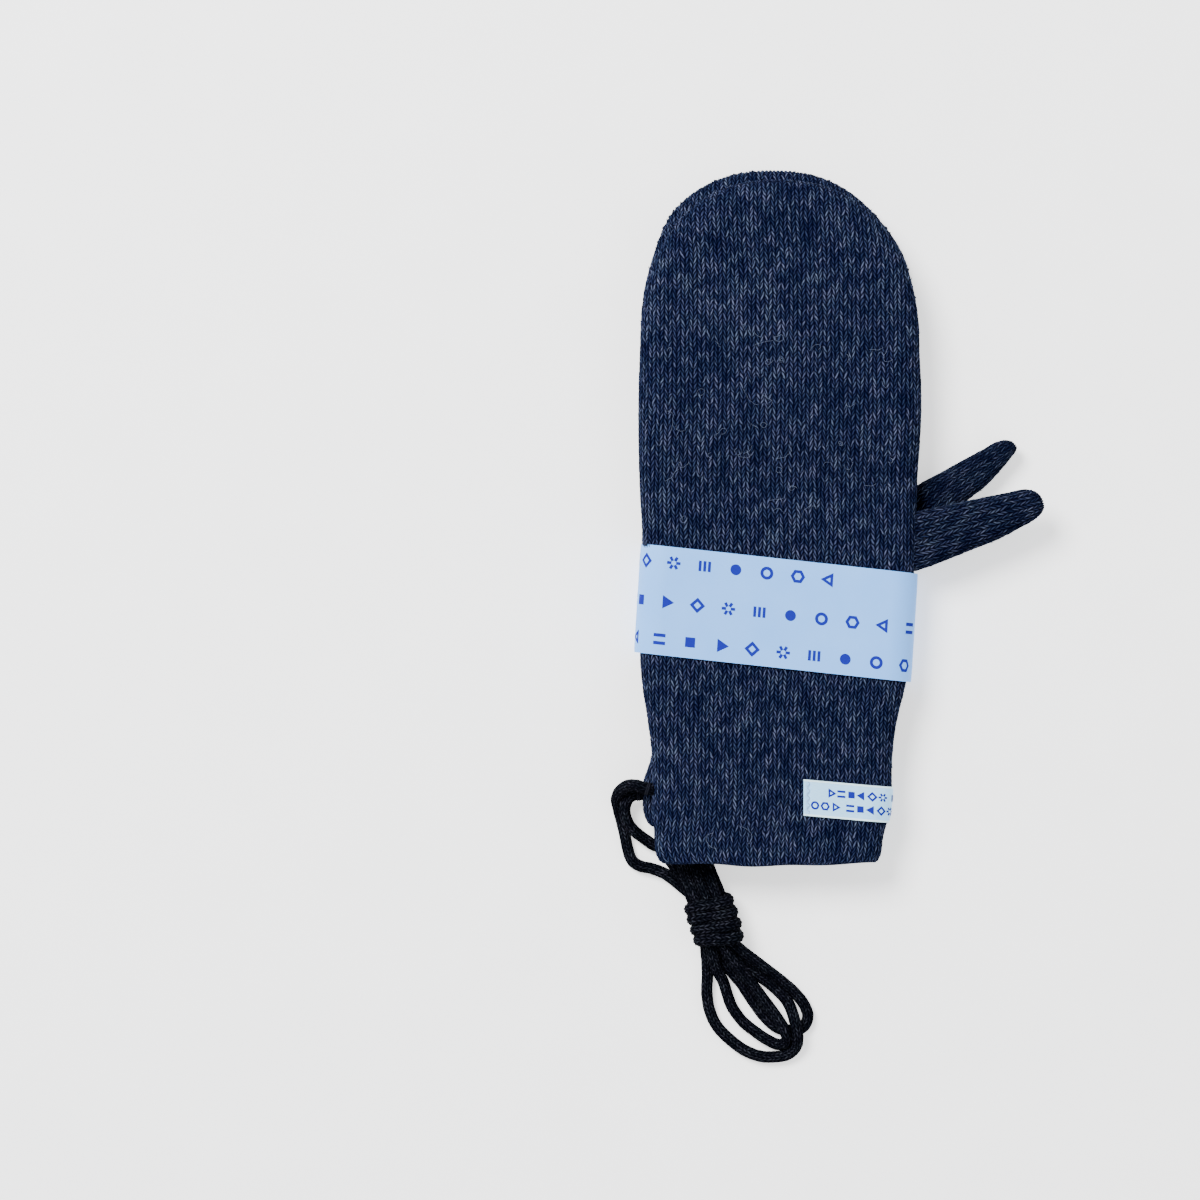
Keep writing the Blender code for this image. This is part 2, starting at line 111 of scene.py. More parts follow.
# The stitches
WALE = 3.2                 # width of one stitch
CUFF_WALE_SHARE = 0.95     # the cuff's and the thumbs' stitches are a little narrower
THUMB_WALE_SHARE = 0.95
CUFF_WALES_FROM_Y = -60.0  # where they start to narrow, and over what length
CUFF_WALES_OVER = 70.0
COURSE = 2.0               # height of one stitch
SLANT = 1.5                # how many courses each leg of a stitch climbs
WALE_COLUMNS = 6           # mesh columns across a stitch, and rows up it
COURSE_ROWS = 3
WANDER = 0.2               # how far the wales stray from straight
HEM_WALL = 1.5             # the knit's thickness where the hem turns in
RELIEF = 0.55              # how far the legs stand out
RELIEF_LEVEL = 0.85        # the share of the relief that lies on the form's own surface
HEM_RELIEF = 0.5           # the share along the hem
BACK_RELIEF_SHIFT = 77     # wales between the two faces' stitches, so that they differ
BACK_TONE_SHIFT = 1000
LINING_SHORT = 6.0         # how far the lining stops inside the hem
HAND_LINING_INSET = 2.2    # how deep it lies under the knit's face
THUMB_LINING_INSET = 1.9

BAND_CENTRE = (-1.35, -82.0)
BAND_TILT = -3.6
BAND_SKEW = 0.0454
BAND_WIDTH = 108.4
BAND_HEIGHT = 41.8
BAND_TOP_Z = 26.6
BAND_CORNER = 11.0
BAND_MARKS = 21            # marks in a row once round the band
BAND_ROWS = ((14.8, 19.0), (-0.4, 17.1), (-14.8, 15.2))  # each row's height, and one mark's place
BAND_BLANK = (25.0, 75.0)  # the stretch of the top row without marks
BAND_SQUEEZE = 0.03        # how much narrower the knit is where the band holds it
BAND_TRAVEL = 41.0         # how far it slides towards the cuffs
BAND_CLEAR = 14.0          # no stray fibre starts nearer to its way than this
BAND_LAP = 12.0            # how far its ends lap, and over what length the upper one rises
BAND_LAP_RISE = 6.0
PAPER = 0.35
BAND_SINK = PAPER * 1.2    # how far the paper lies inside the outline above
INK_RISE = 0.06
SHARP_EDGE = 40.0          # the angle above which an edge of a sheet is drawn sharp

LABEL_START_X = 8.8
LABEL_TOP_Y = -145.8
LABEL_HEIGHT = 13.9
LABEL_SLOPE = 0.09
LABEL_UNDER = 13.0         # how far the label goes on past the cuff's edge
LABEL_THICKNESS = 0.35
LABEL_STAND = 0.75         # how far its face stands off the knit's form
LABEL_SEAM_AT = 1.8        # the rows of thread, from each end
LABEL_MARK_SIZE = 0.65
LABEL_MARK_PITCH = 3.9
LABEL_GAP = 1.8            # the wider gap after every sixth mark

CORD_RADIUS = 2.1


# ---------------------------------------------------------------- small tools

def between(stations, at, column):
    """The stations' values at these places, on a smooth curve through them."""
    rows = np.array(stations, float)
    x, y = rows[:, 0], rows[:, column]
    slope = np.gradient(y, x)
    at = np.clip(np.asarray(at, float), x[0], x[-1])
    i = np.clip(np.searchsorted(x, at) - 1, 0, len(x) - 2)
    span = x[i + 1] - x[i]
    t = (at - x[i]) / span
    return (
        (2 * t**3 - 3 * t**2 + 1) * y[i]
        + (t**3 - 2 * t**2 + t) * slope[i] * span
        + (3 * t**2 - 2 * t**3) * y[i + 1]
        + (t**3 - t**2) * slope[i + 1] * span
    )


def ease(t):
    t = np.clip(t, 0.0, 1.0)
    return t * t * (3 - 2 * t)


def waves(seed, x, y, length, count=7):
    """Smooth, repeatable unevenness from -1 to 1 with about this wavelength."""
    rng = np.random.default_rng(seed)
    total = 0.0
    for _ in range(count):
        angle = rng.uniform(0, 2 * math.pi)
        pitch = 2 * math.pi / (length * rng.uniform(0.7, 1.5))
        phase = rng.uniform(0, 2 * math.pi)
        total = total + np.sin(pitch * (x * math.cos(angle) + y * math.sin(angle)) + phase)
    return total / math.sqrt(count) / 1.5


def squared(value, power):
    """A sine or cosine drawn out, so that a circle becomes a rounded square."""
    return math.copysign(abs(value) ** power, value)


def unit(vectors):
    return vectors / np.maximum(np.linalg.norm(vectors, axis=-1, keepdims=True), 1e-9)


def distances(line):
    """How far along the line each of its points lies."""
    return np.concatenate(([0], np.cumsum(np.linalg.norm(np.diff(line, axis=0), axis=1))))


def point_normals(points, faces):
    """Each point's normal, from the faces round it. Triangles repeat their last corner."""
    normals = np.zeros_like(points)
    cross = np.cross(points[faces[:, 2]] - points[faces[:, 0]], points[faces[:, 3]] - points[faces[:, 1]])
    for corner in range(4):
        for axis in range(3):
            normals[:, axis] += np.bincount(faces[:, corner], cross[:, axis], len(points))
    return unit(normals)


def link(name, data, material):
    made = bpy.data.objects.new(name, data)
    bpy.context.scene.collection.objects.link(made)
    if material:
        data.materials.append(material)
    return made


def mesh_object(name, points, faces, material, uv=None):
    """A smooth mesh object. faces has four corners a row, and a triangle repeats its last one."""
    used = np.unique(faces)
    renumber = np.full(len(points), -1)
    renumber[used] = np.arange(len(used))
    faces = renumber[faces]
    triangle = faces[:, 2] == faces[:, 3]
    sizes = np.where(triangle, 3, 4)
    keep = np.ones(faces.shape, bool)
    keep[triangle, 3] = False
    mesh = bpy.data.meshes.new(name)
    mesh.vertices.add(len(used))
    mesh.vertices.foreach_set("co", (points[used] * MM).astype(np.float32).ravel())
    mesh.loops.add(int(sizes.sum()))
    mesh.loops.foreach_set("vertex_index", faces[keep].astype(np.int32))
    mesh.polygons.add(len(faces))
    starts = np.concatenate(([0], np.cumsum(sizes)[:-1]))
    mesh.polygons.foreach_set("loop_start", starts.astype(np.int32))
    mesh.update(calc_edges=True)
    mesh.validate()
    mesh.shade_smooth()
    if uv is not None:
        layer = mesh.uv_layers.new(name="stitch")
        layer.data.foreach_set("uv", uv[keep].astype(np.float32).ravel())
    return link(name, mesh, material)


def grid_faces(columns, rows, wrap=False):
    """The quads of a grid whose points are numbered column by column."""
    across = columns if wrap else columns - 1
    i, j = np.meshgrid(np.arange(across), np.arange(rows - 1), indexing="ij")
    i, j = i.ravel(), j.ravel()
    after = (i + 1) % columns
    return np.stack((i * rows + j, after * rows + j, after * rows + j + 1, i * rows + j + 1), axis=1)


def slab_faces(columns, rows):
    """The faces of a sheet's outer and inner skins, numbered one after the other, and of its rims."""
    count = columns * rows
    faces = grid_faces(columns, rows)
    start, low = np.arange(rows), np.arange(columns) * rows
    walls = []
    for rim in (start, start[::-1] + count - rows, low[::-1], low + rows - 1):
        a, b = rim[:-1], rim[1:]
        walls.append(np.stack((a, b, b + count, a + count), axis=1))
    return np.concatenate([faces, faces[:, ::-1] + count] + walls)


# ---------------------------------------------------------------- shader nodes

class Tree:
    """A material's node tree, with short ways to add what the fabrics need."""

    def __init__(self, name):
        self.material = bpy.data.materials.new(name)
        self.material.use_nodes = True
        self.nodes = self.material.node_tree.nodes
        self.links = self.material.node_tree.links
        self.shader = self.nodes["Principled BSDF"]

    def put(self, socket, value):
        if isinstance(value, bpy.types.NodeSocket):
            self.links.new(value, socket)
        else:
            socket.default_value = value

    def maths(self, operation, *values, clamp=False):
        node = self.nodes.new("ShaderNodeMath")
        node.operation = operation
        node.use_clamp = clamp
        for socket, value in zip(node.inputs, values):
            self.put(socket, value)
        return node.outputs[0]

    def vector(self, x, y, z=0.0):
        node = self.nodes.new("ShaderNodeCombineXYZ")
        for socket, value in zip(node.inputs, (x, y, z)):
            self.put(socket, value)
        return node.outputs[0]

    def stitch(self):
        """The stitch coordinates: wales across and courses up."""
        uv = self.nodes.new("ShaderNodeUVMap")
        uv.uv_map = "stitch"
        parts = self.nodes.new("ShaderNodeSeparateXYZ")
        self.links.new(uv.outputs[0], parts.inputs[0])
        return parts.outputs[0], parts.outputs[1]

    def place(self):
        return self.nodes.new("ShaderNodeTexCoord").outputs["Object"]

    def noise(self, vector, scale, detail=2.0, roughness=0.5):
        node = self.nodes.new("ShaderNodeTexNoise")
        self.put(node.inputs["Vector"], vector)
        node.inputs["Scale"].default_value = scale
        node.inputs["Detail"].default_value = detail
        node.inputs["Roughness"].default_value = roughness
        return node.outputs["Fac"]

    def chance(self, vector):
        """A random value for each whole-numbered cell."""
        node = self.nodes.new("ShaderNodeTexWhiteNoise")
        node.noise_dimensions = "3D"
        self.put(node.inputs["Vector"], vector)
        return node.outputs["Value"]

    def wobbled(self, value, scale, amount):
        """The value, moved a little to and fro by a noise of this scale."""
        push = self.maths("MULTIPLY_ADD", self.noise(self.place(), scale), amount, -amount / 2)
        return self.maths("ADD", value, push)

    def arch(self, value):
        """Rises from 0 to 1 and back within each whole step of the value."""
        return self.maths("SINE", self.maths("MULTIPLY", self.maths("FRACT", value), math.pi))

    def ramp(self, factor, *stops):
        node = self.nodes.new("ShaderNodeValToRGB")
        self.put(node.inputs[0], factor)
        points = node.color_ramp.elements
        while len(points) < len(stops):
            points.new(0.5)
        for point, (at, colour) in zip(points, stops):
            point.position = at
            point.color = (*colour, 1.0)
        return node.outputs[0]

    def mix(self, factor, a, b, blend="MIX"):
        node = self.nodes.new("ShaderNodeMix")
        node.data_type = "RGBA"
        node.blend_type = blend
        self.put(node.inputs[0], factor)
        for socket, value in ((node.inputs[6], a), (node.inputs[7], b)):
            self.put(socket, (*value, 1.0) if isinstance(value, tuple) else value)
        return node.outputs[2]

    def bump(self, height, distance, strength=1.0):
        node = self.nodes.new("ShaderNodeBump")
        node.inputs["Strength"].default_value = strength
        node.inputs["Distance"].default_value = distance
        self.put(node.inputs["Height"], height)
        self.links.new(node.outputs[0], self.shader.inputs["Normal"])

    def finish(self, colour, roughness, specular=0.3, sheen=0.0, sheen_roughness=0.5):
        self.put(self.shader.inputs["Base Color"], colour)
        self.put(self.shader.inputs["Roughness"], roughness)
        self.shader.inputs["Specular IOR Level"].default_value = specular
        self.shader.inputs["Sheen Weight"].default_value = sheen
        self.shader.inputs["Sheen Roughness"].default_value = sheen_roughness
        return self.material


# A knit's painted shade in the gaps between stitches, then its dark, middle and light wool
WOOL_TONES = (
    (0.0001, 0.0002, 0.0055), (0.0072, 0.0122, 0.039), (0.026, 0.037, 0.087), (0.112, 0.134, 0.220),
)
CORD_TONES = (
    (0.0001, 0.0002, 0.0010), (0.0040, 0.0046, 0.0080), (0.0110, 0.0122, 0.0190), (0.040, 0.043, 0.058),
)
THUMB_PAINTED_SHADE = 0.66         # painted shade: the thumbs' wool is darkened, as they lie lower and in shade
# The dark and the light end of the others
LOOSE_WOOL = ((0.05, 0.06, 0.10), (0.14, 0.17, 0.24))
DARK_THREAD = ((0.001, 0.0015, 0.004), (0.008, 0.009, 0.016))
PALE_THREAD = ((0.20, 0.34, 0.55), (0.42, 0.60, 0.82))
BLUE_INK = ((0.010, 0.014, 0.22), (0.014, 0.018, 0.27))
BAND_PAPER = ((0.18, 0.44, 0.95), (0.15, 0.40, 0.91))


def knit_material(name, painted_gap_shade, dark, middle, light):
    """Melange wool: bright legs over gaps of painted shade, each leg with its own tone and fibres along it.
    """
    tree = Tree(name)
    u, v = tree.stitch()
    u = tree.wobbled(u, 430.0, 0.38)
    v = tree.wobbled(v, 520.0, 1.10)
    legs = tree.maths("MULTIPLY", u, 2.0)
    own = tree.chance(tree.vector(tree.maths("FLOOR", legs), tree.maths("FLOOR", v)))
    strands = tree.vector(tree.maths("MULTIPLY", u, 3.0), tree.maths("MULTIPLY", v, 7.0))
    fibres = tree.noise(strands, 1.0, 3.0, 0.7)
    patches = tree.noise(tree.place(), 160.0, 2.0)
    tone = tree.maths("MULTIPLY_ADD", own, 0.40, tree.maths("MULTIPLY", fibres, 0.60))
    tone = tree.maths("ADD", tone, tree.maths("MULTIPLY_ADD", patches, 0.60, -0.30))
    yarn = tree.ramp(tone, (0.25, dark), (0.50, middle), (0.85, light))
    drift = tree.noise(tree.place(), 190.0, 2.0)
    hues = tree.ramp(drift, (0.40, (1.02, 0.98, 1.01)), (0.60, (0.94, 1.03, 0.98)))
    yarn = tree.mix(1.0, yarn, hues, "MULTIPLY")
    # painted shade: the colour falls to the gap colour between the legs and between the courses
    across = tree.maths("POWER", tree.arch(v), 2.2)
    along = tree.maths("POWER", tree.arch(legs), 1.5)
    crown = tree.maths("MULTIPLY", across, along)
    colour = tree.mix(crown, painted_gap_shade, yarn)
    fuzz = tree.noise(tree.place(), 5200.0, 3.0, 0.7)
    tree.bump(tree.maths("ADD", tree.maths("MULTIPLY", fibres, 0.6), fuzz), 0.00025, 0.6)
    roughness = tree.maths("MULTIPLY_ADD", fibres, 0.15, 0.82)
    return tree.finish(colour, roughness, specular=0.01)


def lining_material():
    """Thin dark jersey, brushed on its inner side."""
    tree = Tree("lining_jersey")
    u, _ = tree.stitch()
    ribs = tree.maths("SINE", tree.maths("MULTIPLY", u, 2 * math.pi * 4))
    fluff = tree.noise(tree.place(), 900.0, 4.0, 0.7)
    shade = tree.maths("MULTIPLY_ADD", ribs, 0.18, fluff)
    colour = tree.ramp(shade, (0.3, (0.010, 0.011, 0.016)), (0.8, (0.045, 0.047, 0.060)))
    tree.bump(shade, 0.0004, 0.5)
    return tree.finish(colour, 0.95, specular=0.1, sheen=0.1)


def thread_material(name, dark, light):
    """Two-ply sewing thread, its twist drawn by slanting stripes."""
    tree = Tree(name)
    wave = tree.nodes.new("ShaderNodeTexWave")
    tree.put(wave.inputs["Vector"], tree.place())
    wave.bands_direction = "DIAGONAL"
    wave.inputs["Scale"].default_value = 900.0
    wave.inputs["Distortion"].default_value = 1.5
    twist = wave.outputs["Fac"]
    colour = tree.ramp(twist, (0.1, dark), (0.9, light))
    tree.bump(twist, 0.0001, 0.7)
    return tree.finish(colour, 0.8, specular=0.08)


def paper_material(name, face, edge):
    """Uncoated paper: faint cloudiness, short fibres and a soft tooth."""
    tree = Tree(name)
    clouds = tree.noise(tree.place(), 60.0, 3.0)
    tooth = tree.noise(tree.place(), 2600.0, 3.0, 0.6)
    mixed = tree.maths("MULTIPLY_ADD", tooth, 0.35, tree.maths("MULTIPLY", clouds, 0.65))
    colour = tree.ramp(mixed, (0.3, edge), (0.7, face))
    tree.bump(tooth, 0.00006, 0.5)
    roughness = tree.maths("MULTIPLY_ADD", tooth, 0.2, 0.55)
    return tree.finish(colour, roughness, specular=0.3)


def ink_material(name, dark, light):
    """Matt ink that lets a little of the paper's tooth through."""
    tree = Tree(name)
    tooth = tree.noise(tree.place(), 3000.0, 2.0)
    colour = tree.ramp(tooth, (0.35, dark), (0.75, light))
    tree.bump(tooth, 0.00004, 0.5)
    return tree.finish(colour, 0.8, specular=0.05)


def satin_material():
    """A satin ribbon: close warp lines along it, finer weft across, and a woven edge."""
    tree = Tree("label_satin")
    u, v = tree.stitch()
    warp = tree.maths("SINE", tree.maths("MULTIPLY", v, 2 * math.pi * 46))
    weft = tree.maths("SINE", tree.maths("MULTIPLY", u, 2 * math.pi * 150))
    streaks = tree.vector(tree.maths("MULTIPLY", u, 8.0), tree.maths("MULTIPLY", v, 60.0))
    shine = tree.noise(streaks, 1.0, 3.0)
    weave = tree.maths("ADD", tree.maths("MULTIPLY", warp, 0.12), tree.maths("MULTIPLY", weft, 0.06))
    shade = tree.maths("ADD", weave, shine)
    # painted sheen: shine lightens the colour in long streaks along the ribbon
    colour = tree.ramp(shade, (0.25, (0.26, 0.58, 0.95)), (0.75, (0.40, 0.74, 0.98)))
    border = tree.maths("GREATER_THAN", tree.maths("ABSOLUTE", tree.maths("SUBTRACT", v, 0.5)), 0.45)
    colour = tree.mix(border, colour, (0.62, 0.88, 0.98))
    tree.bump(shade, 0.00008, 0.8)
    roughness = tree.maths("MULTIPLY_ADD", shine, 0.25, 0.28)
    tree.shader.inputs["Anisotropic"].default_value = 0.4
    return tree.finish(colour, roughness, specular=0.5, sheen=0.1)


def floor_material():
    tree = Tree("studio_floor")
    mottle = tree.noise(tree.place(), 30.0, 4.0)
    colour = tree.ramp(mottle, (0.3, (0.90, 0.90, 0.90)), (0.7, (0.93, 0.93, 0.93)))
    tree.shader.inputs["Emission Color"].default_value = (1.0, 1.0, 1.0, 1.0)
    tree.shader.inputs["Emission Strength"].default_value = 1.0
    return tree.finish(colour, 0.9, specular=0.1)


# ---------------------------------------------------------------- camera and light

CAMERA_X = -69.3
CAMERA_Y = -77.0
CAMERA_HEIGHT = 1600.0
FOCUS_Z = 20.0
FRAME_WIDTH = 462.0
SENSOR = 36.0


def make_camera():
    data = bpy.data.cameras.new("camera")
    data.sensor_width = SENSOR
    data.lens = SENSOR * CAMERA_HEIGHT / FRAME_WIDTH
    camera = link("camera", data, None)
    camera.location = (CAMERA_X * MM, CAMERA_Y * MM, (CAMERA_HEIGHT + FOCUS_Z) * MM)
    bpy.context.scene.camera = camera


def add_area_light(name, place, aim, size, power):
    data = bpy.data.lights.new(name, "AREA")
    data.shape = "DISK"
    data.size = size
    data.energy = power
    light = link(name, data, None)
    light.location = place
    light.rotation_euler = (aim - light.location).to_track_quat("-Z", "Y").to_euler()


def make_studio():
    world = bpy.data.worlds.new("studio")
    bpy.context.scene.world = world
    world.use_nodes = True
    backdrop = world.node_tree.nodes["Background"]
    backdrop.inputs["Color"].default_value = (0.95, 0.97, 1.0, 1.0)
    backdrop.inputs["Strength"].default_value = 1.0
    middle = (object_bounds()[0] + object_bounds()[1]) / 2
    add_area_light("key", (-0.9, 0.9, 1.9), middle, 1.0, 110.0)
    add_area_light("fill", (1.2, -0.6, 1.7), middle, 1.6, 8.0)
    bpy.ops.mesh.primitive_grid_add(x_subdivisions=4, y_subdivisions=4, size=6.0, location=(0, 0, -0.0004))
    floor = bpy.context.object
    floor.name = "floor"
    floor.data.materials.append(floor_material())


# ---------------------------------------------------------------- the knitted tubes

def flatter(y):
    return ease((FLATTER_FROM_Y - y) / (FLATTER_FROM_Y - FLATTER_TO_Y))


def hand_thickness(y):
    share = flatter(y)
    return PALM_HALF_THICKNESS * (1 - share) + CUFF_HALF_THICKNESS * share


def middle_z(side, y):
    """The height of the mitten's middle, which is lower at the cuff."""
    share = flatter(y)
    return PALM_MID_Z[side] * (1 - share) + CUFF_MID_Z[side] * share


def corner_share(side, y):
    """How much narrower the hand is than its outline, at the hem's rounded corners."""
    tuck = np.clip(1 - (y - HEM_Y[side]) / HEM_CORNER, 0.0, 1.0)
    return 1 - HEM_TUCK * (1 - np.sqrt(1 - tuck**2)) / OUTLINE[0][1]


def hand_drift(side, y):
    """How far the hand's middle lies off the Y axis."""
    towards_cuff = ease((CUFF_DRIFT_FROM_Y - y) / (CUFF_DRIFT_FROM_Y - CUFF_DRIFT_TO_Y))
    towards_tip = ease((y - TIP_LEAN_FROM_Y) / (TIP_LEAN_TO_Y - TIP_LEAN_FROM_Y))
    return between(OUTLINE, y, 2) + CUFF_DRIFT[side] * towards_cuff + TIP_LEAN[side] * towards_tip


def under_band(x, y):
    """How far a place is under the paper band, from 0 outside it to 1."""
    off = np.abs(y - BAND_CENTRE[1] + (BAND_SKEW - math.tan(math.radians(BAND_TILT))) * x)
    return ease((BAND_HEIGHT / 2 - off) / 4.0)


class Hand:
    """A mitten's hand without its thumb, lying flat."""

    roll = EDGE_ROLL
    hem_depth = 9.0
    tip_start = TIP_START_Y
    tip_length = TIP_LENGTH

    def __init__(self, side):
        self.side = side
        self.hem = HEM_Y[side]
        self.seed = 11 if side == "upper" else 29

    def half_width(self, y):
        return between(OUTLINE, y, 1)

    def wale_share(self, y):
        return 1 - (1 - CUFF_WALE_SHARE) * ease((CUFF_WALES_FROM_Y - y) / CUFF_WALES_OVER)

    def thickness(self, y):
        return hand_thickness(y)

    def hem_line(self, x):
        return self.hem + 0.5 * np.sin(x / 13.0 + self.seed) + 0.3 * np.sin(x / 5.1)

    def placed(self, x, y, z):
        """The points in the row frame, from places on the flat hand and heights off its middle."""
        uneven = waves(self.seed, x, y, 38.0) * 0.5 + waves(self.seed + 1, x, y, 90.0) * 0.5
        loose = ease((self.half_width(np.minimum(y, self.tip_start)) - np.abs(x)) / 14.0)
        sunk = np.where(z > 0, 0.5 * (uneven - 0.6) * loose, 0.0)
        x = x * corner_share(self.side, y) * (1 - BAND_SQUEEZE * under_band(x, y + SHIFT_Y[self.side]))
        x = x + hand_drift(self.side, y)
        return np.stack((x, y + SHIFT_Y[self.side], middle_z(self.side, y) + z + sunk), axis=-1)


class Thumb:
    """A mitten's thumb, a tapering flat tube that starts inside the hand."""

    roll = THUMB_ROLL
    hem_depth = 0.0
    tip_length = THUMB_TIP_LENGTH
    hem = -THUMB_BACK

    def __init__(self, side):
        self.side = side
        self.length = THUMB_LENGTH[side]
        self.tip_start = self.length - THUMB_TIP_LENGTH
        self.seed = 53 if side == "upper" else 71

    def half_width(self, y):
        share = np.clip(y / self.tip_start, 0.0, 1.0)
        return THUMB_ROOT_HALF_WIDTH + (THUMB_END_HALF_WIDTH - THUMB_ROOT_HALF_WIDTH) * share

    def wale_share(self, y):
        return THUMB_WALE_SHARE

    def thickness(self, y):
        swell = ease((y - THUMB_SWELL_FROM) / THUMB_SWELL_LENGTH)
        return THUMB_ROOT_HALF_THICKNESS + (THUMB_HALF_THICKNESS - THUMB_ROOT_HALF_THICKNESS) * swell

    def hem_line(self, x):
        return self.hem

    def placed(self, x, y, z):
        angle = math.radians(THUMB_ANGLE[self.side])
        root_y = THUMB_ROOT_Y[self.side] + SHIFT_Y[self.side]
        middle = middle_z(self.side, THUMB_ROOT_Y[self.side])
        uneven = waves(self.seed, x, y, 22.0)
        slant = ease((y - 0.55 * self.length) / (0.5 * self.length))
        x = x * np.where(x > 0, 1 - THUMB_CUT_AWAY[self.side] * slant, 1.0)
        lean = THUMB_LEAN[self.side] * ease(y / THUMB_LEAN_BY)
        x = x * (1 - lean) - self.half_width(y) * lean
        return np.stack(
            (
                THUMB_ROOT_X + y * math.cos(angle) + x * math.sin(angle),
                root_y + y * math.sin(angle) - x * math.cos(angle),
                middle + z * (1 - 0.06 * (1 + uneven)),
            ),
            axis=-1,
        )


def rolled_edge(roll, thickness):
    """Arc length, reach and share of the height along the rounded edge, from flat to the outline."""
    angle = np.linspace(0, math.pi / 2, 80)
    reach = roll * np.sin(angle) ** (2 / EDGE_ROUNDNESS)
    height = np.cos(angle) ** (2 / EDGE_ROUNDNESS)
    steps = np.hypot(np.diff(reach), np.diff(height * thickness))
    return np.concatenate(([0], np.cumsum(steps))), reach, height


def flat_part(form):
    """The line where the form starts to round off, and its outward directions."""
    low = np.linspace(form.hem - 30.0, form.tip_start, 160, endpoint=False)
    side = np.stack((form.half_width(low), low), axis=1)
    width = float(form.half_width(np.array(form.tip_start)))
    angle = np.linspace(0, math.pi / 2, 90)
    tip = np.stack(
        (
            width * np.cos(angle) ** (2 / TIP_ROUNDNESS),
            form.tip_start + form.tip_length * np.sin(angle) ** (2 / TIP_ROUNDNESS),
        ),
        axis=1,
    )
    right = np.concatenate((side, tip))
    outline = np.concatenate((right, right[-2::-1] * (-1, 1)))
    along = unit(np.gradient(outline, axis=0))
    outward = np.stack((along[:, 1], -along[:, 0]), axis=1)
    return outline - outward * form.roll


def nearest(line, points):
    """How far points lie outside the line, their nearest points on it, and the way out."""
    start, step = line[:-1], np.diff(line, axis=0)
    length = (step**2).sum(1)
    outward = unit(np.stack((step[:, 1], -step[:, 0]), axis=1))
    best = np.full(len(points), np.inf)
    place = np.zeros((len(points), 2))
    chunk = 4000
    segment = np.zeros(len(points), int)
    for low in range(0, len(points), chunk):
        part = points[low:low + chunk, None, :] - start[None]
        t = np.clip((part * step[None]).sum(2) / length[None], 0, 1)
        gap = part - t[..., None] * step[None]
        distance = (gap**2).sum(2)
        chosen = distance.argmin(1)
        rows = np.arange(len(chosen))
        best[low:low + chunk] = distance[rows, chosen]
        segment[low:low + chunk] = chosen
        place[low:low + chunk] = start[chosen] + t[rows, chosen, None] * step[chosen]
    gap = points - place
    outside = (gap * outward[segment]).sum(1) > 0
    way = np.where(outside[:, None] & (best[:, None] > 1e-12), unit(gap), outward[segment])
    return np.where(outside, np.sqrt(best), 0.0), place, way


def stitch_relief(wales, courses, seed):
    """How far the knit stands out: two slanting legs to a stitch, each one a little different."""
    legs = np.mod(wales * 2, 1.0)
    phase = np.mod(courses, 1.0)
    ridge = np.sin(math.pi * legs) ** 0.6
    leg = np.sqrt(np.clip(1 - (2 * phase - 1) ** 2, 0, 1))
    rng = np.random.default_rng(seed)
    table = rng.random((512, 512))
    own = table[np.floor(wales * 2).astype(int) % 512, np.floor(courses).astype(int) % 512]
    return ridge * (0.42 + 0.58 * leg) * (0.8 + 0.35 * own)


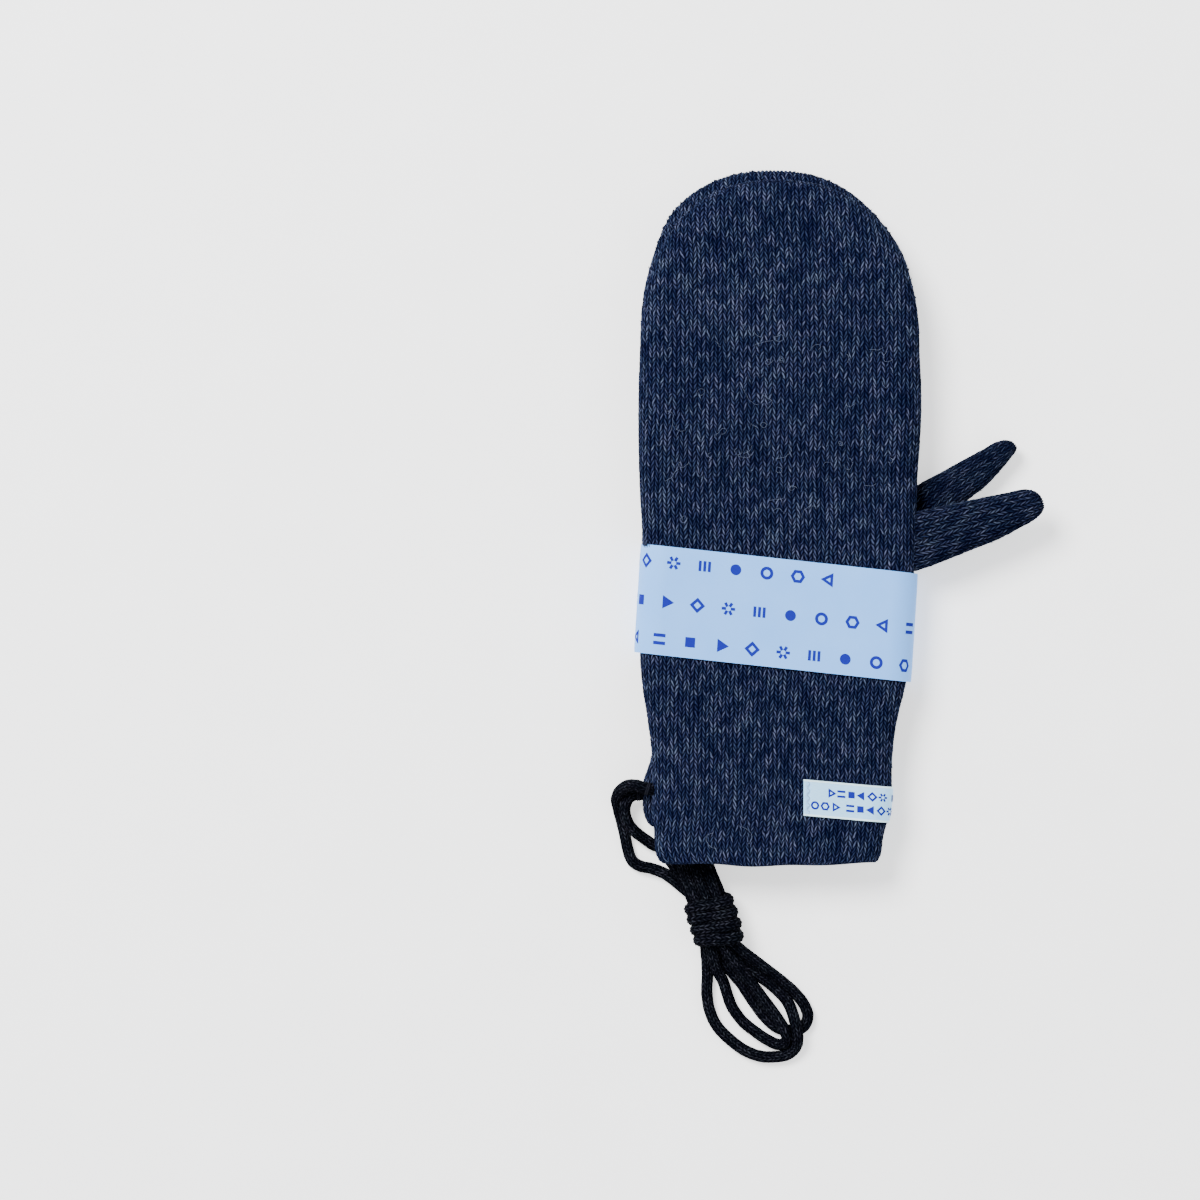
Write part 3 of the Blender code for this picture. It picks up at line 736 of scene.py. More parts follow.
def knit_tube(name, form, material, inset=0.0):
    """A closed-ended tube lying flat, with its stitches running straight up both of its faces.

    The stitches are laid out on the unrolled face and wrapped round its edge, and the rows of the
    mesh follow the slanting legs. A tube that is set in is a lining, and has no stitches of its own.
    """
    knitted = inset == 0.0
    columns, rows = (WALE_COLUMNS, COURSE_ROWS) if knitted else (1, 1)
    slant, wander = (SLANT, WANDER) if knitted else (0.0, 0.0)
    arc, reach, height = rolled_edge(form.roll - inset, form.thickness(form.tip_start) - inset)
    widest = form.half_width(np.linspace(form.hem, form.tip_start, 50)).max() - form.roll + arc[-1]
    side_columns = math.ceil(widest / WALE / 0.94 * columns) + 2
    i = np.arange(-side_columns, side_columns + 1)
    wales = i / columns
    lean = np.abs(2 * np.mod(wales, 1.0) - 1)
    bottom = form.hem + inset - (slant + 2) * COURSE
    top = form.tip_start + form.tip_length - form.roll + arc[-1] + 2 * COURSE
    j = np.arange(math.ceil((top - bottom) / COURSE * rows))
    courses = np.broadcast_to(j / rows, (len(i), len(j)))
    flat_y = bottom + (courses + slant * lean[:, None]) * COURSE
    flat_x = wales[:, None] * WALE * form.wale_share(flat_y)
    flat_x = flat_x + wander * waves(form.seed + 5, flat_x * 2.2, flat_y, 14.0)
    hem = form.hem_line(flat_x) + (0.0 if knitted else LINING_SHORT)
    below = flat_y <= hem
    flat_y = np.maximum(flat_y, hem)

    line = flat_part(form)
    spots = np.stack((flat_x.ravel(), flat_y.ravel()), axis=1)
    past, place, way = nearest(line, spots)
    outer = past >= arc[-1]
    out = np.interp(past, arc, reach)
    up = np.interp(past, arc, height)
    flat = place + way * out[:, None]
    flat[past == 0] = spots[past == 0]
    half = (form.thickness(flat[:, 1]) - inset) * np.where(outer, 0.0, up)
    front = form.placed(flat[:, 0], flat[:, 1], half)
    back = form.placed(flat[:, 0], flat[:, 1], -half)

    count = len(spots)
    number = np.arange(count).reshape(flat_y.shape)
    last_below = below.sum(axis=1) - 1
    hem_number = number[np.arange(len(i)), last_below]
    number = np.where(below, hem_number[:, None], number)
    corners = grid_faces(*flat_y.shape)
    mapped = number.ravel()[corners]
    keep = ~(outer[mapped].all(axis=1) | below.ravel()[corners].all(axis=1))
    corners, mapped = corners[keep], mapped[keep]
    points = np.concatenate((front, back))
    twin = np.where(outer, np.arange(count), np.arange(count) + count)
    faces = np.concatenate((mapped, twin[mapped][:, ::-1]))
    uv = np.stack((np.repeat(wales, len(j)), courses.ravel()), axis=1)
    loops = np.concatenate((uv[mapped], (uv + (BACK_TONE_SHIFT, 0))[mapped][:, ::-1]))
    faces, loops = merge_repeats(faces, loops)

    if knitted:
        normals = point_normals(points, faces)
        rise = stitch_relief(uv[:, 0], uv[:, 1], form.seed)
        rise[below.ravel()] = HEM_RELIEF
        back_rise = stitch_relief(uv[:, 0] + BACK_RELIEF_SHIFT, uv[:, 1], form.seed)
        back_rise = np.where(outer, rise, back_rise)
        back_rise[below.ravel()] = HEM_RELIEF
        rises = np.concatenate((rise, back_rise))
        points = points + normals * ((rises - RELIEF_LEVEL) * RELIEF)[:, None]
    if knitted and form.hem_depth:
        points, faces, loops = turn_in_hem(points, faces, loops, normals, form.hem_depth)
    return mesh_object(name, points, faces, material, loops)


def merge_repeats(faces, loops):
    """Turns quads with two equal corners into triangles, and drops those with fewer than three."""
    same = faces == np.roll(faces, -1, axis=1)
    plain = ~same.any(axis=1)
    single = same.sum(axis=1) == 1
    out_faces, out_loops = [faces[plain]], [loops[plain]]
    for corner in range(4):
        chosen = single & same[:, corner]
        order = [k for k in range(4) if k != corner]
        order.append(order[-1])
        out_faces.append(faces[chosen][:, order])
        out_loops.append(loops[chosen][:, order])
    return np.concatenate(out_faces), np.concatenate(out_loops)


def open_loop(faces):
    """The points of the open edge with the most points, in order."""
    pairs = np.concatenate([faces[:, [k, (k + 1) % 4]] for k in range(4)])
    pairs = pairs[pairs[:, 0] != pairs[:, 1]]
    keys = set(map(tuple, pairs.tolist()))
    onward = {a: b for a, b in keys if (b, a) not in keys}
    loops = []
    while onward:
        at = next(iter(onward))
        loop = []
        while at in onward:
            loop.append(at)
            at = onward.pop(at)
        loops.append(loop)
    return np.array(max(loops, key=len))


def turn_in_hem(points, faces, loops, normals, depth):
    """Rounds the open edge and turns it back inside the tube."""
    edge = open_loop(faces)
    inward = -normals[edge]
    inward[:, 1] = 0
    inward = unit(inward)
    base = points[edge]
    up = np.array((0.0, 1.0, 0.0))
    fold = ((0.25, -0.45), (0.75, -0.45), (1.0, 0.0), (1.0, depth))
    rings = [base + inward * HEM_WALL * share + up * rise for share, rise in fold]
    n = len(edge)
    first = len(points)
    points = np.concatenate([points] + rings)
    rows = [edge] + [first + k * n + np.arange(n) for k in range(len(rings))]
    added = []
    coords = []
    for k, (near, far) in enumerate(zip(rows, rows[1:])):
        after = np.roll(np.arange(n), -1)
        added.append(np.stack((near[after], near, far, far[after]), axis=1))
        u = np.arange(n) / WALE_COLUMNS
        low, high = -0.7 * k, -0.7 * (k + 1)
        corner = [(u + 1 / WALE_COLUMNS, low), (u, low), (u, high), (u + 1 / WALE_COLUMNS, high)]
        coords.append(np.stack([np.stack((a, np.full(n, b)), axis=1) for a, b in corner], axis=1))
    return points, np.concatenate([faces] + added), np.concatenate([loops] + coords)


def belongs(piece, body, slot, *nodes):
    """The piece rides on the body and stands for the nodes, which it hides. slot is not used."""
    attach(piece, body)
    if nodes:
        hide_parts(*nodes)


def bends(piece, side, node):
    """For a piece of the thumb: bakes its placing into its mesh and stands for the node, which it hides.
    The ends of THUMB_BEND are worked out but not used.
    """
    start, end = (Thumb(side).placed(0.0, np.array(along), 0.0) * MM for along in THUMB_BEND)
    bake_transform(piece)
    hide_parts(node)


def make_mitten(side, hand_knit, thumb_knit, lining):
    """The hand and the thumb, each a knitted shell with a lining in it."""
    hand, thumb = Hand(side), Thumb(side)
    belongs(knit_tube(f"{side}_hand_knit", hand, hand_knit), "mittens", "knit", f"{side}_hand_shell")
    inner = knit_tube(f"{side}_hand_lining_cloth", hand, lining, HAND_LINING_INSET)
    belongs(inner, "mittens", "lining", f"{side}_hand_lining")
    bends(knit_tube(f"{side}_thumb_knit", thumb, thumb_knit), side, f"{side}_thumb_shell")
    inner = knit_tube(f"{side}_thumb_lining_cloth", thumb, lining, THUMB_LINING_INSET)
    bends(inner, side, f"{side}_thumb_lining")


def make_thumb_seam(side, yarn):
    """The ring of linking stitches at the thumb's root, sunk in the crease between the two knits."""
    thumb = Thumb(side)
    points = []
    turns = 60
    wide = thumb.half_width(THUMB_SEAM_AT) - 1.0
    high = thumb.thickness(THUMB_SEAM_AT) - 0.75
    for k in range(turns + 1):
        angle = 2 * math.pi * k / turns
        x = wide * squared(math.cos(angle), 0.8)
        z = high * squared(math.sin(angle), 0.8)
        along = THUMB_SEAM_AT + 0.25 * math.sin(angle * turns / 4)
        points.append(thumb.placed(np.array(x), np.array(along), np.array(z)))
    seam = swept_tube(f"{side}_thumb_linking", np.array(points), 0.45, yarn, around=8)
    bends(seam, side, f"{side}_thumb_seam")


# ---------------------------------------------------------------- tubes on a line

def smooth_line(points, spacing):
    """Evenly spaced points on a smooth curve through these points."""
    points = np.array(points, float)
    padded = np.concatenate(([2 * points[0] - points[1]], points, [2 * points[-1] - points[-2]]))
    steps = 24
    parts = []
    for k in range(1, len(padded) - 2):
        a, b, c, d = padded[k - 1:k + 3]
        t = np.linspace(0, 1, steps, endpoint=False)[:, None]
        square, cube = 2 * a - 5 * b + 4 * c - d, 3 * b - a - 3 * c + d
        parts.append(0.5 * (2 * b + (c - a) * t + square * t**2 + cube * t**3))
    parts.append(points[-1:])
    dense = np.concatenate(parts)
    gone = distances(dense)
    count = max(int(gone[-1] / spacing), 2)
    at = np.linspace(0, gone[-1], count + 1)
    return np.stack([np.interp(at, gone, dense[:, k]) for k in range(3)], axis=1)


def frames_along(points):
    """Directions along the line, with two across it that turn as little as they can."""
    along = unit(np.gradient(points, axis=0))
    side = np.cross(along[0], (0.0, 0.3, 1.0))
    sides = []
    for direction in along:
        side = side - direction * side.dot(direction)
        side = side / np.linalg.norm(side)
        sides.append(side)
    sides = np.array(sides)
    return along, sides, np.cross(along, sides)


def tube_skin(points, radius, around):
    """A tube's points, faces and stitch places. radius is a number, or a function of column and row."""
    along, sides, ups = frames_along(points)
    angle = 2 * math.pi * np.arange(around) / around
    i, j = np.meshgrid(np.arange(around), np.arange(len(points)), indexing="ij")
    size = radius(i, j) if callable(radius) else np.full(i.shape, radius)
    out = np.cos(angle)[:, None, None] * sides[None] + np.sin(angle)[:, None, None] * ups[None]
    skin = (points[None] + out * size[..., None]).reshape(-1, 3)
    rows = len(points)
    faces = grid_faces(around, rows, wrap=True)
    uv = np.stack((i.ravel() * 1.0, j.ravel() * 1.0), axis=1)
    loops = uv[faces]
    closing = i.ravel()[faces[:, 0]] == around - 1
    loops[closing, 1:3, 0] += around
    ring = np.arange(around)
    after = (ring + 1) % around
    first, last = np.full(around, len(skin)), np.full(around, len(skin) + 1)
    skin = np.concatenate((skin, points[[0, -1]]))
    caps = (
        np.stack((after * rows, ring * rows, first, first), axis=1),
        np.stack((ring * rows + rows - 1, after * rows + rows - 1, last, last), axis=1),
    )
    faces = np.concatenate((faces, *caps))
    loops = np.concatenate((loops, np.zeros((2 * around, 4, 2))))
    return skin, faces, loops


def swept_tube(name, points, radius, material, around=12):
    skin, faces, loops = tube_skin(points, radius, around)
    return mesh_object(name, skin, faces, material, loops)


# ---------------------------------------------------------------- the neck cord

CORD_WALES = 6             # stitches round the cord
CORD_WALE_COLUMNS = 4
CORD_COURSE = 1.7
CORD_COURSE_ROWS = 3
CORD_RELIEF = 0.32
CORD_RELIEF_LEVEL = 0.7
CORD_FULLNESS = 1.07       # the knit stands a little out of the cord's round
KNOT_FULLNESS = 0.2        # and the turns round the knot more
CORD_WIDE = 3.95           # one strand beside the next

LOWER_CORD_ROUTE = (
    (-53.6, -152.5, 6.8), (-56.2, -152.7, 6.8), (-58.7, -154.6, 6.7), (-59.7, -158.6, 6.5),
    (-58.7, -162.9, 5.9), (-56.2, -166.5, 4.4), (-52.7, -169.4, 3.0), (-48.9, -172.1, 2.3),
    (-45.0, -174.6, 2.2), (-42.2, -176.3, 2.2),
)
UPPER_CORD_ROUTE = (
    (-50.1, -149.8, 19.1), (-52.6, -149.2, 18.9), (-55.4, -148.4, 17.4), (-58.7, -148.7, 14.2),
    (-61.5, -150.9, 9.8), (-62.9, -154.4, 5.4), (-62.0, -158.8, 2.8), (-60.8, -163.4, 2.2),
    (-59.6, -168.6, 2.2), (-58.5, -174.0, 2.2), (-56.8, -178.4, 2.2), (-53.5, -180.6, 2.2),
    (-49.3, -181.5, 2.2), (-45.4, -182.9, 2.2), (-42.6, -184.5, 2.2), (-39.6, -186.4, 2.2),
)

# The hank's middle line on the floor, from under the cuff to the knot's far end
HANK_AXIS = (
    (-36.6, -169.0), (-33.9, -178.0), (-30.4, -187.0), (-27.3, -194.0), (-24.3, -204.0), (-22.3, -213.5),
)
NECK_LOW = 3.3
KNOT_LOW = 6.4


def hank_point(share, across, z):
    """A point at this share of the hank's middle line, set off to its right and at this height."""
    line = np.array(HANK_AXIS)
    gone = distances(line)
    at = share * gone[-1]
    beyond = 30.0
    line = np.concatenate((
        line[:1] - unit(line[1] - line[0]) * beyond, line, line[-1:] + unit(line[-1] - line[-2]) * beyond
    ))
    gone = np.concatenate(([-beyond], gone, [gone[-1] + beyond]))
    x, y = np.interp(at, gone, line[:, 0]), np.interp(at, gone, line[:, 1])
    before, after = (np.array([np.interp(at + d, gone, line[:, k]) for k in (0, 1)]) for d in (-4.0, 4.0))
    along = unit(after - before)
    return (x - across * along[1], y + across * along[0], z)


def core_strand(column, layer):
    """Points of one strand through the hank's neck and knot, from the cuff down to the loops."""
    places = (
        (0.16, NECK_LOW), (0.34, NECK_LOW + 1.2), (0.52, KNOT_LOW), (0.70, KNOT_LOW), (0.88, KNOT_LOW - 0.6)
    )
    wide = CORD_WIDE * (1.45 - 0.40 * layer)
    return [
        hank_point(share, column * wide * (1.0 - 0.12 * share), low + layer * CORD_WIDE)
        for share, low in places
    ]


def wraps():
    """The turns round the knot, from its loop end up to where the cord leaves on the left."""
    start, turns = -108.0, 4.0
    first, last = 0.92, 0.54
    wide, high, middle = 7.2, 5.9, 8.8
    tilt = 0.0055
    steps = round(turns * 14)
    points = []
    for k in range(steps + 1):
        done = k / steps
        angle = math.radians(start) - 2 * math.pi * turns * done
        across = wide * squared(math.cos(angle), 0.75)
        z = high * squared(math.sin(angle), 0.75)
        swell = 1.0 + 0.06 * math.sin(math.pi * done)
        points.append(hank_point(first + (last - first) * done + tilt * across, across * swell, middle + z))
    return points


def wrapped(route):
    """1 along the turns round the knot and 0 elsewhere, with soft ends."""
    gap = np.linalg.norm(route[:, None] - np.array(wraps())[None], axis=2).min(axis=1)
    return np.convolve(gap < 2.0, np.full(25, 1 / 25), "same")


def step_back(route):
    """The point before the route's first, inside the cuff."""
    return 2 * np.array(route[0]) - np.array(route[1])


def cord_route():
    """The whole cord from the lower mitten, through the hank's three loops, to the upper one."""
    first_loop = [
        (-27.5, -222.0, 2.3), (-27.7, -230.0, 2.2), (-26.6, -236.8, 2.2), (-23.9, -242.6, 2.2),
        (-19.3, -247.6, 2.2), (-13.5, -252.0, 2.2), (-7.7, -254.4, 2.2), (-1.9, -254.9, 2.2),
        (3.6, -253.9, 2.4), (7.0, -250.6, 3.6), (7.4, -245.8, 6.4), (6.2, -240.0, 6.4),
        (3.6, -233.2, 4.2), (-1.9, -227.4, 2.6), (-9.6, -221.6, 2.8), (-14.6, -217.6, 4.4),
    ]
    second_loop = [
        (-24.2, -219.6, 5.6), (-21.4, -225.4, 3.2), (-19.8, -230.4, 2.3), (-17.8, -235.6, 2.2),
        (-13.9, -240.9, 2.2), (-8.9, -245.0, 2.2), (-3.8, -248.4, 2.2), (0.4, -250.0, 2.6),
        (3.2, -248.4, 4.2), (2.6, -244.6, 6.4), (-0.4, -239.4, 6.4), (-5.4, -232.6, 6.0),
        (-10.4, -226.0, 6.0), (-15.6, -219.6, 7.8),
    ]
    third_loop = [
        (-14.6, -212.6, 9.6), (-7.7, -218.0, 6.8), (0.0, -224.1, 4.0), (5.8, -229.1, 2.4),
        (9.9, -234.1, 2.2), (11.6, -238.9, 2.2), (10.0, -243.0, 2.2), (5.6, -244.4, 2.2),
        (0.0, -243.6, 2.2), (-5.0, -239.4, 2.2), (-9.6, -233.4, 2.2), (-14.2, -226.4, 2.3),
        (-19.4, -220.0, 2.6),
    ]
    first_turn = [
        hank_point(0.02, 5.2, 3.3), hank_point(-0.06, 5.0, 3.5), hank_point(-0.125, 3.6, 3.9),
        hank_point(-0.155, 0.8, 4.7), hank_point(-0.125, -2.2, 5.5), hank_point(-0.06, -3.8, 6.2),
        hank_point(0.02, -4.0, 6.7),
    ]
    second_turn = [
        hank_point(0.02, -0.5, 7.4), hank_point(-0.06, -0.7, 7.5), hank_point(-0.125, -0.4, 7.6),
        hank_point(-0.165, 0.7, 7.8), hank_point(-0.180, 2.4, 7.9), hank_point(-0.165, 4.1, 7.9),
        hank_point(-0.125, 5.2, 7.8), hank_point(-0.06, 5.4, 7.7), hank_point(0.02, 5.0, 7.5),
    ]
    route = [step_back(LOWER_CORD_ROUTE), *LOWER_CORD_ROUTE[:-1]]
    route += core_strand(-1, 0)[1:] + first_loop + core_strand(1, 0)[::-1] + first_turn
    route += core_strand(-1, 1) + second_loop + core_strand(0, 1)[::-1] + second_turn
    route += core_strand(1, 1) + third_loop + wraps()
    route += [*UPPER_CORD_ROUTE[-2::-1], step_back(UPPER_CORD_ROUTE)]
    return smooth_line(route, CORD_COURSE / CORD_COURSE_ROWS)


def make_cord(material):
    """The whole cord as one knitted tube, with slanting legs all round it."""
    route = cord_route()
    size = CORD_RADIUS * (CORD_FULLNESS + KNOT_FULLNESS * wrapped(route))

    def radius(column, row):
        wales = column / CORD_WALE_COLUMNS
        courses = row / CORD_COURSE_ROWS - np.abs(2 * np.mod(wales, 1.0) - 1)
        return size[row] + CORD_RELIEF * (stitch_relief(wales + 0.001, courses, 5) - CORD_RELIEF_LEVEL)

    skin, faces, loops = tube_skin(route, radius, CORD_WALES * CORD_WALE_COLUMNS)
    uv = loops / (CORD_WALE_COLUMNS, CORD_COURSE_ROWS)
    uv[..., 1] -= np.abs(2 * np.mod(uv[..., 0], 1.0) - 1)
    cord = mesh_object("neck_cord", skin, faces, material, uv)
    belongs(
        cord, "mittens", "cord",
        "cord_run_upper", "cord_run_lower", "cord_hank_neck", "cord_hank_knot", "cord_hank_loops",
    )


def make_tack(side, route, material):
    """Two turns of thread that bind the cord's end to the cuff."""
    along = unit(np.array(route[1]) - np.array(route[0]))
    across = unit(np.cross(along, (0.0, 0.0, 1.0)))
    up = np.cross(across, along)
    start = np.array(route[0]) + along * 0.2
    turn = np.arange(2 * 16 + 1)[:, None] / 16
    ring = across * np.cos(2 * math.pi * turn) + up * np.sin(2 * math.pi * turn)
    line = start + along * 0.7 * turn + ring * (CORD_RADIUS + 0.1)
    tack = swept_tube(f"cord_whipping_{side}", line, 0.32, material, around=8)
    belongs(tack, "mittens", "thread", f"cord_tack_{side}")


# ---------------------------------------------------------------- stray fibres

STRAY_FIBRES = 45
FIBRE_RADIUS = 0.055


def make_stray_fibres(side, count, material):
    """Fine curls of wool that have worked loose from the upper face."""
    hand = Hand(side)
    rng = np.random.default_rng(7)
    skins, faces, loops = [], [], []
    total = 0
    while len(skins) < count:
        x, y = rng.uniform(-44.0, 44.0), rng.uniform(hand.hem + 8, hand.tip_start + 22)
        above_band = y - BAND_CENTRE[1] + BAND_HEIGHT / 2
        on_label = x > LABEL_START_X - 8 and abs(y - LABEL_TOP_Y + LABEL_HEIGHT / 2) < 18
        if on_label or -BAND_TRAVEL - BAND_CLEAR < above_band < BAND_HEIGHT + BAND_CLEAR:
            continue
        steps = int(rng.integers(8, 26))
        heading, curl = rng.uniform(0, 2 * math.pi), rng.normal(0, 0.25)
        places = []
        for k in range(steps + 1):
            places.append((x, y, 0.3 + 0.7 * math.sin(math.pi * k / steps)))
            heading += curl + rng.normal(0, 0.25)
            x, y = x + 0.4 * math.cos(heading), y + 0.4 * math.sin(heading)
        x, y, lift = np.array(places).T
        line = hand.placed(x, y, hand.thickness(y) + lift)
        skin, face, loop = tube_skin(line, FIBRE_RADIUS, 5)
        skins.append(skin)
        faces.append(face + total)
        loops.append(loop)
        total += len(skin)
    parts = (np.concatenate(part) for part in (skins, faces))
    fibres = mesh_object(f"{side}_stray_fibres", *parts, material, np.concatenate(loops))
    belongs(fibres, "mittens", "knit")


# ---------------------------------------------------------------- the paper band

def band_section():
    """Arc length and (x, z) places once round the band, from the middle of its back."""
    flat_x = BAND_WIDTH / 2 - BAND_CORNER
    flat_z = BAND_TOP_Z / 2 - BAND_CORNER
    turn = np.linspace(0, math.pi / 2, 24)
    places = [(0.0, -BAND_TOP_Z / 2)]
    for quarter, (sign_x, sign_z) in zip((-1, 0, 1, 2), ((1, -1), (1, 1), (-1, 1), (-1, -1))):
        angle = turn + quarter * math.pi / 2
        xs = sign_x * flat_x + BAND_CORNER * np.cos(angle)
        zs = sign_z * flat_z + BAND_CORNER * np.sin(angle)
        places += list(zip(xs, zs))
    places.append((0.0, -BAND_TOP_Z / 2))
    places = np.array(places)
    gone = distances(places)
    return gone, places


def band_point(along, up, stand_off):
    """Points on the band: along runs once round it from the middle of the back, up is across it."""
    gone, places = band_section()
    along, up, stand_off = np.broadcast_arrays(along, up, stand_off)
    at = np.mod(along, gone[-1])
    x, z = np.interp(at, gone, places[:, 0]), np.interp(at, gone, places[:, 1])
    step = 0.4
    before, after = np.mod(at - step, gone[-1]), np.mod(at + step, gone[-1])
    dx = np.interp(after, gone, places[:, 0]) - np.interp(before, gone, places[:, 0])
    dz = np.interp(after, gone, places[:, 1]) - np.interp(before, gone, places[:, 1])
    size = np.maximum(np.hypot(dx, dz), 1e-9)
    x = x + stand_off * dz / size
    z = z - stand_off * dx / size
    y = up - BAND_SKEW * x
    tilt = math.radians(BAND_TILT)
    return np.stack(
        (
            BAND_CENTRE[0] + x * math.cos(tilt) - y * math.sin(tilt),
            BAND_CENTRE[1] + x * math.sin(tilt) + y * math.cos(tilt),
            z + BAND_TOP_Z / 2,
        ),
        axis=-1,
    )


def make_band(paper, ink):
    """A strip of paper once round the pair, its ends lapped and glued at the back."""
    gone, _ = band_section()
    along = np.linspace(0.0, gone[-1] + BAND_LAP, 320)
    up = np.linspace(-BAND_HEIGHT / 2, BAND_HEIGHT / 2, 15)
    a, u = np.meshgrid(along, up, indexing="ij")
    lapped = PAPER * 1.15 * ease((a - gone[-1]) / BAND_LAP_RISE + 1)
    worn = 0.12 * (np.abs(u) / (BAND_HEIGHT / 2)) ** 12
    skins = [band_point(a, u, lapped - worn - BAND_SINK - depth).reshape(-1, 3) for depth in (0.0, PAPER)]
    faces = slab_faces(len(along), len(up))
    band = mesh_object("paper_band_loop", np.concatenate(skins), faces, paper)
    band.data.set_sharp_from_angle(angle=math.radians(SHARP_EDGE))
    belongs(band, "band", "paper", "paper_band")
    marks = []
    front, pitch = gone[-1] / 2, gone[-1] / BAND_MARKS
    for row, (y, right) in enumerate(BAND_ROWS):
        for k in range(BAND_MARKS):
            x = right + (k - BAND_MARKS // 2) * pitch
            if row or not BAND_BLANK[0] < x < BAND_BLANK[1]:
                marks.append((MARKS[(k * 3 + row * 4) % len(MARKS)], front - x, y, 1.0))
    printed = make_marks("band_marks", marks, lambda a, u: band_point(a, u, INK_RISE - BAND_SINK), ink)
    belongs(printed, "band", "paper")


# ---------------------------------------------------------------- plain printed marks

def polygon_mark(sides, outer, inner, turn=0.0):
    """A band between two polygons, as strips of quads."""
    steps = max(3, 24 // sides)
    angle = math.radians(turn) + 2 * math.pi * np.arange(sides + 1) / sides
    at = np.arange(sides * steps + 1) / steps
    ring = np.stack([np.interp(at, np.arange(sides + 1), wave(angle)) for wave in (np.cos, np.sin)], axis=1)
    return ring * inner, ring * outer


def bar_mark(x0, y0, x1, y1, width):
    """A straight bar between two places, as a strip of quads."""
    t = np.linspace(0, 1, 9)[:, None]
    line = np.array((x0, y0)) * (1 - t) + np.array((x1, y1)) * t
    side = unit(np.array((y0 - y1, x1 - x0), float)) * width / 2
    return line - side, line + side


def spokes(count, inner, outer, width):
    return [
        bar_mark(inner * math.cos(a), inner * math.sin(a), outer * math.cos(a), outer * math.sin(a), width)
        for a in (2 * math.pi * k / count for k in range(count))
    ]


MARKS = (
    [polygon_mark(3, 3.2, 1.1)],
    [polygon_mark(24, 2.1, 0.01)],
    [polygon_mark(4, 3.0, 1.4)],
    [bar_mark(-2.4, -1.5, 2.4, -1.5, 1.3), bar_mark(-2.4, 1.5, 2.4, 1.5, 1.3)],
    [polygon_mark(24, 2.5, 1.3)],
    spokes(6, 0.9, 2.6, 1.1),
    [polygon_mark(4, 2.7, 0.01, 45.0)],
    [polygon_mark(6, 2.8, 1.5)],
    [bar_mark(x, -2.0, x, 2.0, 1.1) for x in (-1.8, 0.0, 1.8)],
    [polygon_mark(3, 3.0, 0.01, 180.0)],
)


def make_marks(name, marks, surface, material):
    """Flat printed shapes that follow a surface. Each is (strips, along, up, size)."""
    points, faces = [], []
    total = 0
    for strips, along, up, size in marks:
        for inner, outer in strips:
            n = len(inner)
            for edge in (inner, outer):
                points.append(surface(along + edge[:, 0] * size, up + edge[:, 1] * size))
            k = np.arange(n - 1) + total
            faces.append(np.stack((k, k + n, k + n + 1, k + 1), axis=1))
            total += 2 * n
    return mesh_object(name, np.concatenate(points), np.concatenate(faces), material)


# ---------------------------------------------------------------- the woven label

def cuff_top(x, y, stand_off):
    """Points over the upper cuff: x goes on over its edge and underneath."""
    hand = Hand("upper")
    arc, reach, height = rolled_edge(EDGE_ROLL, CUFF_HALF_THICKNESS)
    flat = hand.half_width(y) - EDGE_ROLL + hand_drift("upper", y)
    past = np.clip(x - flat, 0.0, 2 * arc[-1])
    over = past > arc[-1]
    mirrored = np.where(over, 2 * arc[-1] - past, past)
    out = np.interp(mirrored, arc, reach) * (1 + stand_off / EDGE_ROLL)
    up = np.interp(mirrored, arc, height) * (CUFF_HALF_THICKNESS + stand_off)
    local_x = np.minimum(x, flat) + out - hand_drift("upper", y)
    z = np.where(over, -up, up)
    return hand.placed(local_x, y, z)


def label_point(along, down, stand_off):
    return cuff_top(LABEL_START_X + along, LABEL_TOP_Y - down - LABEL_SLOPE * along, stand_off)


def label_wave(along, down):
    return 0.12 * waves(3, along, down, 9.0)


def label_length():
    y = LABEL_TOP_Y - LABEL_HEIGHT / 2
    arc, _, _ = rolled_edge(EDGE_ROLL, CUFF_HALF_THICKNESS)
    edge = float(between(OUTLINE, y, 1) + hand_drift("upper", y)) - EDGE_ROLL + arc[-1]
    return edge - LABEL_START_X + LABEL_UNDER


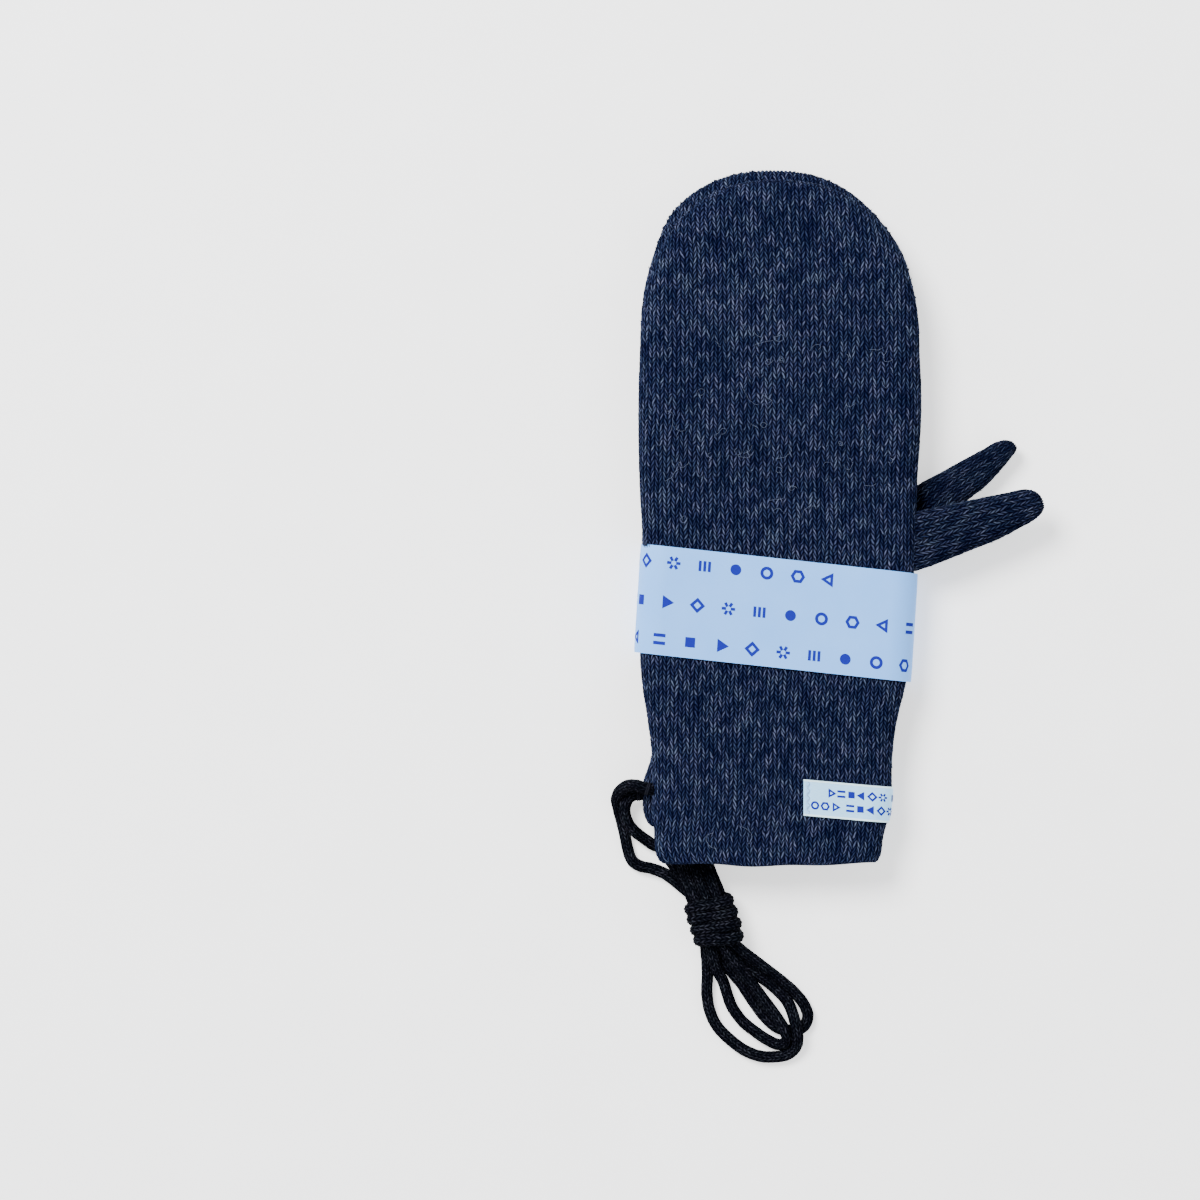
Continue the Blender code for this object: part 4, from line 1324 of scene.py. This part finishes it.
def make_label(satin, thread, ink):
    """A satin ribbon folded round the cuff's edge, sewn down at both ends."""
    length = label_length()
    along = np.linspace(0, length, 150)
    down = np.linspace(0, LABEL_HEIGHT, 36)
    a, d = np.meshgrid(along, down, indexing="ij")
    hem = np.where((np.minimum(d, LABEL_HEIGHT - d) < 0.7), 0.10, 0.0)
    dent = 0.3 * np.exp(-((a - LABEL_SEAM_AT) / 0.6) ** 2)
    stand = LABEL_STAND + label_wave(a, d) * ease(a / 6) + hem - dent
    skins = [label_point(a, d, stand - depth).reshape(-1, 3) for depth in (0.0, LABEL_THICKNESS)]
    faces = slab_faces(len(along), len(down))[:, ::-1]
    uv = np.stack((a.ravel(), d.ravel()), axis=1) / LABEL_HEIGHT
    uv = np.concatenate((uv, uv))[faces]
    label = mesh_object("label_ribbon", np.concatenate(skins), faces, satin, uv)
    label.data.set_sharp_from_angle(angle=math.radians(SHARP_EDGE))
    belongs(label, "mittens", "satin", "woven_label")

    stitches = 9
    t = np.arange(stitches * 8 + 1) / 8
    for name, at in (("front", LABEL_SEAM_AT), ("back", length - LABEL_SEAM_AT)):
        across = at + 0.45 * np.sin(math.pi * t)
        lift = 0.80 + 0.20 * np.abs(np.cos(math.pi * t))
        line = label_point(across, 0.8 + (LABEL_HEIGHT - 1.6) * t / stitches, lift)
        row = swept_tube(f"label_thread_{name}", line, 0.16, thread, around=8)
        belongs(row, "mittens", "label_thread", f"label_stitch_{name}")

    marks = []
    for row, (y, start) in enumerate(((4.4, 10.6), (9.6, 4.4))):
        x = start
        kind = row
        while x < length - 4.0:
            marks.append((MARKS[(kind * 3 + row) % len(MARKS)], x, y, LABEL_MARK_SIZE))
            x += LABEL_MARK_PITCH
            kind += 1
            if (kind + 2 * row) % 6 == 0:
                x += LABEL_GAP

    def on_label(a, d):
        return label_point(a, d, LABEL_STAND + label_wave(a, d) + INK_RISE)

    belongs(make_marks("label_marks", marks, on_label, ink), "mittens", "satin")


# ---------------------------------------------------------------- the whole pair

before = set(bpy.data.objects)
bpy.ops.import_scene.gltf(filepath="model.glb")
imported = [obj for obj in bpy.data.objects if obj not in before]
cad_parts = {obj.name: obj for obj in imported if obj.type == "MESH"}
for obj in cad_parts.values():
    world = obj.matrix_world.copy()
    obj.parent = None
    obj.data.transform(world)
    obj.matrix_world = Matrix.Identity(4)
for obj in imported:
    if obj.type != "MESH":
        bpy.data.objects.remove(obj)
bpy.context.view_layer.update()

make_camera()
make_cord(knit_material("cord_knit", *CORD_TONES))

wool = knit_material("melange_wool", *WOOL_TONES)
# the thumbs get a copy of the wool darkened with painted shade
thumb_wool_painted_shade = knit_material("thumb_wool_painted_shade", *(tuple(THUMB_PAINTED_SHADE * c for c in tone) for tone in WOOL_TONES))
lining = lining_material()
loose_wool = thread_material("loose_wool", *LOOSE_WOOL)
thread = thread_material("dark_thread", *DARK_THREAD)
pale_thread = thread_material("pale_thread", *PALE_THREAD)
blue_ink = ink_material("blue_ink", *BLUE_INK)

make_studio()
for side in ("lower", "upper"):
    make_mitten(side, wool, thumb_wool_painted_shade, lining)
    make_thumb_seam(side, thread)
for side, route in (("lower", LOWER_CORD_ROUTE), ("upper", UPPER_CORD_ROUTE)):
    make_tack(side, route, thread)
make_stray_fibres("upper", STRAY_FIBRES, loose_wool)
make_band(paper_material("band_paper", *BAND_PAPER), blue_ink)
make_label(satin_material(), pale_thread, blue_ink)

for name in ("upper_tip_seam", "lower_tip_seam"):
    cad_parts[name].data.materials.clear()
    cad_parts[name].data.materials.append(thread)
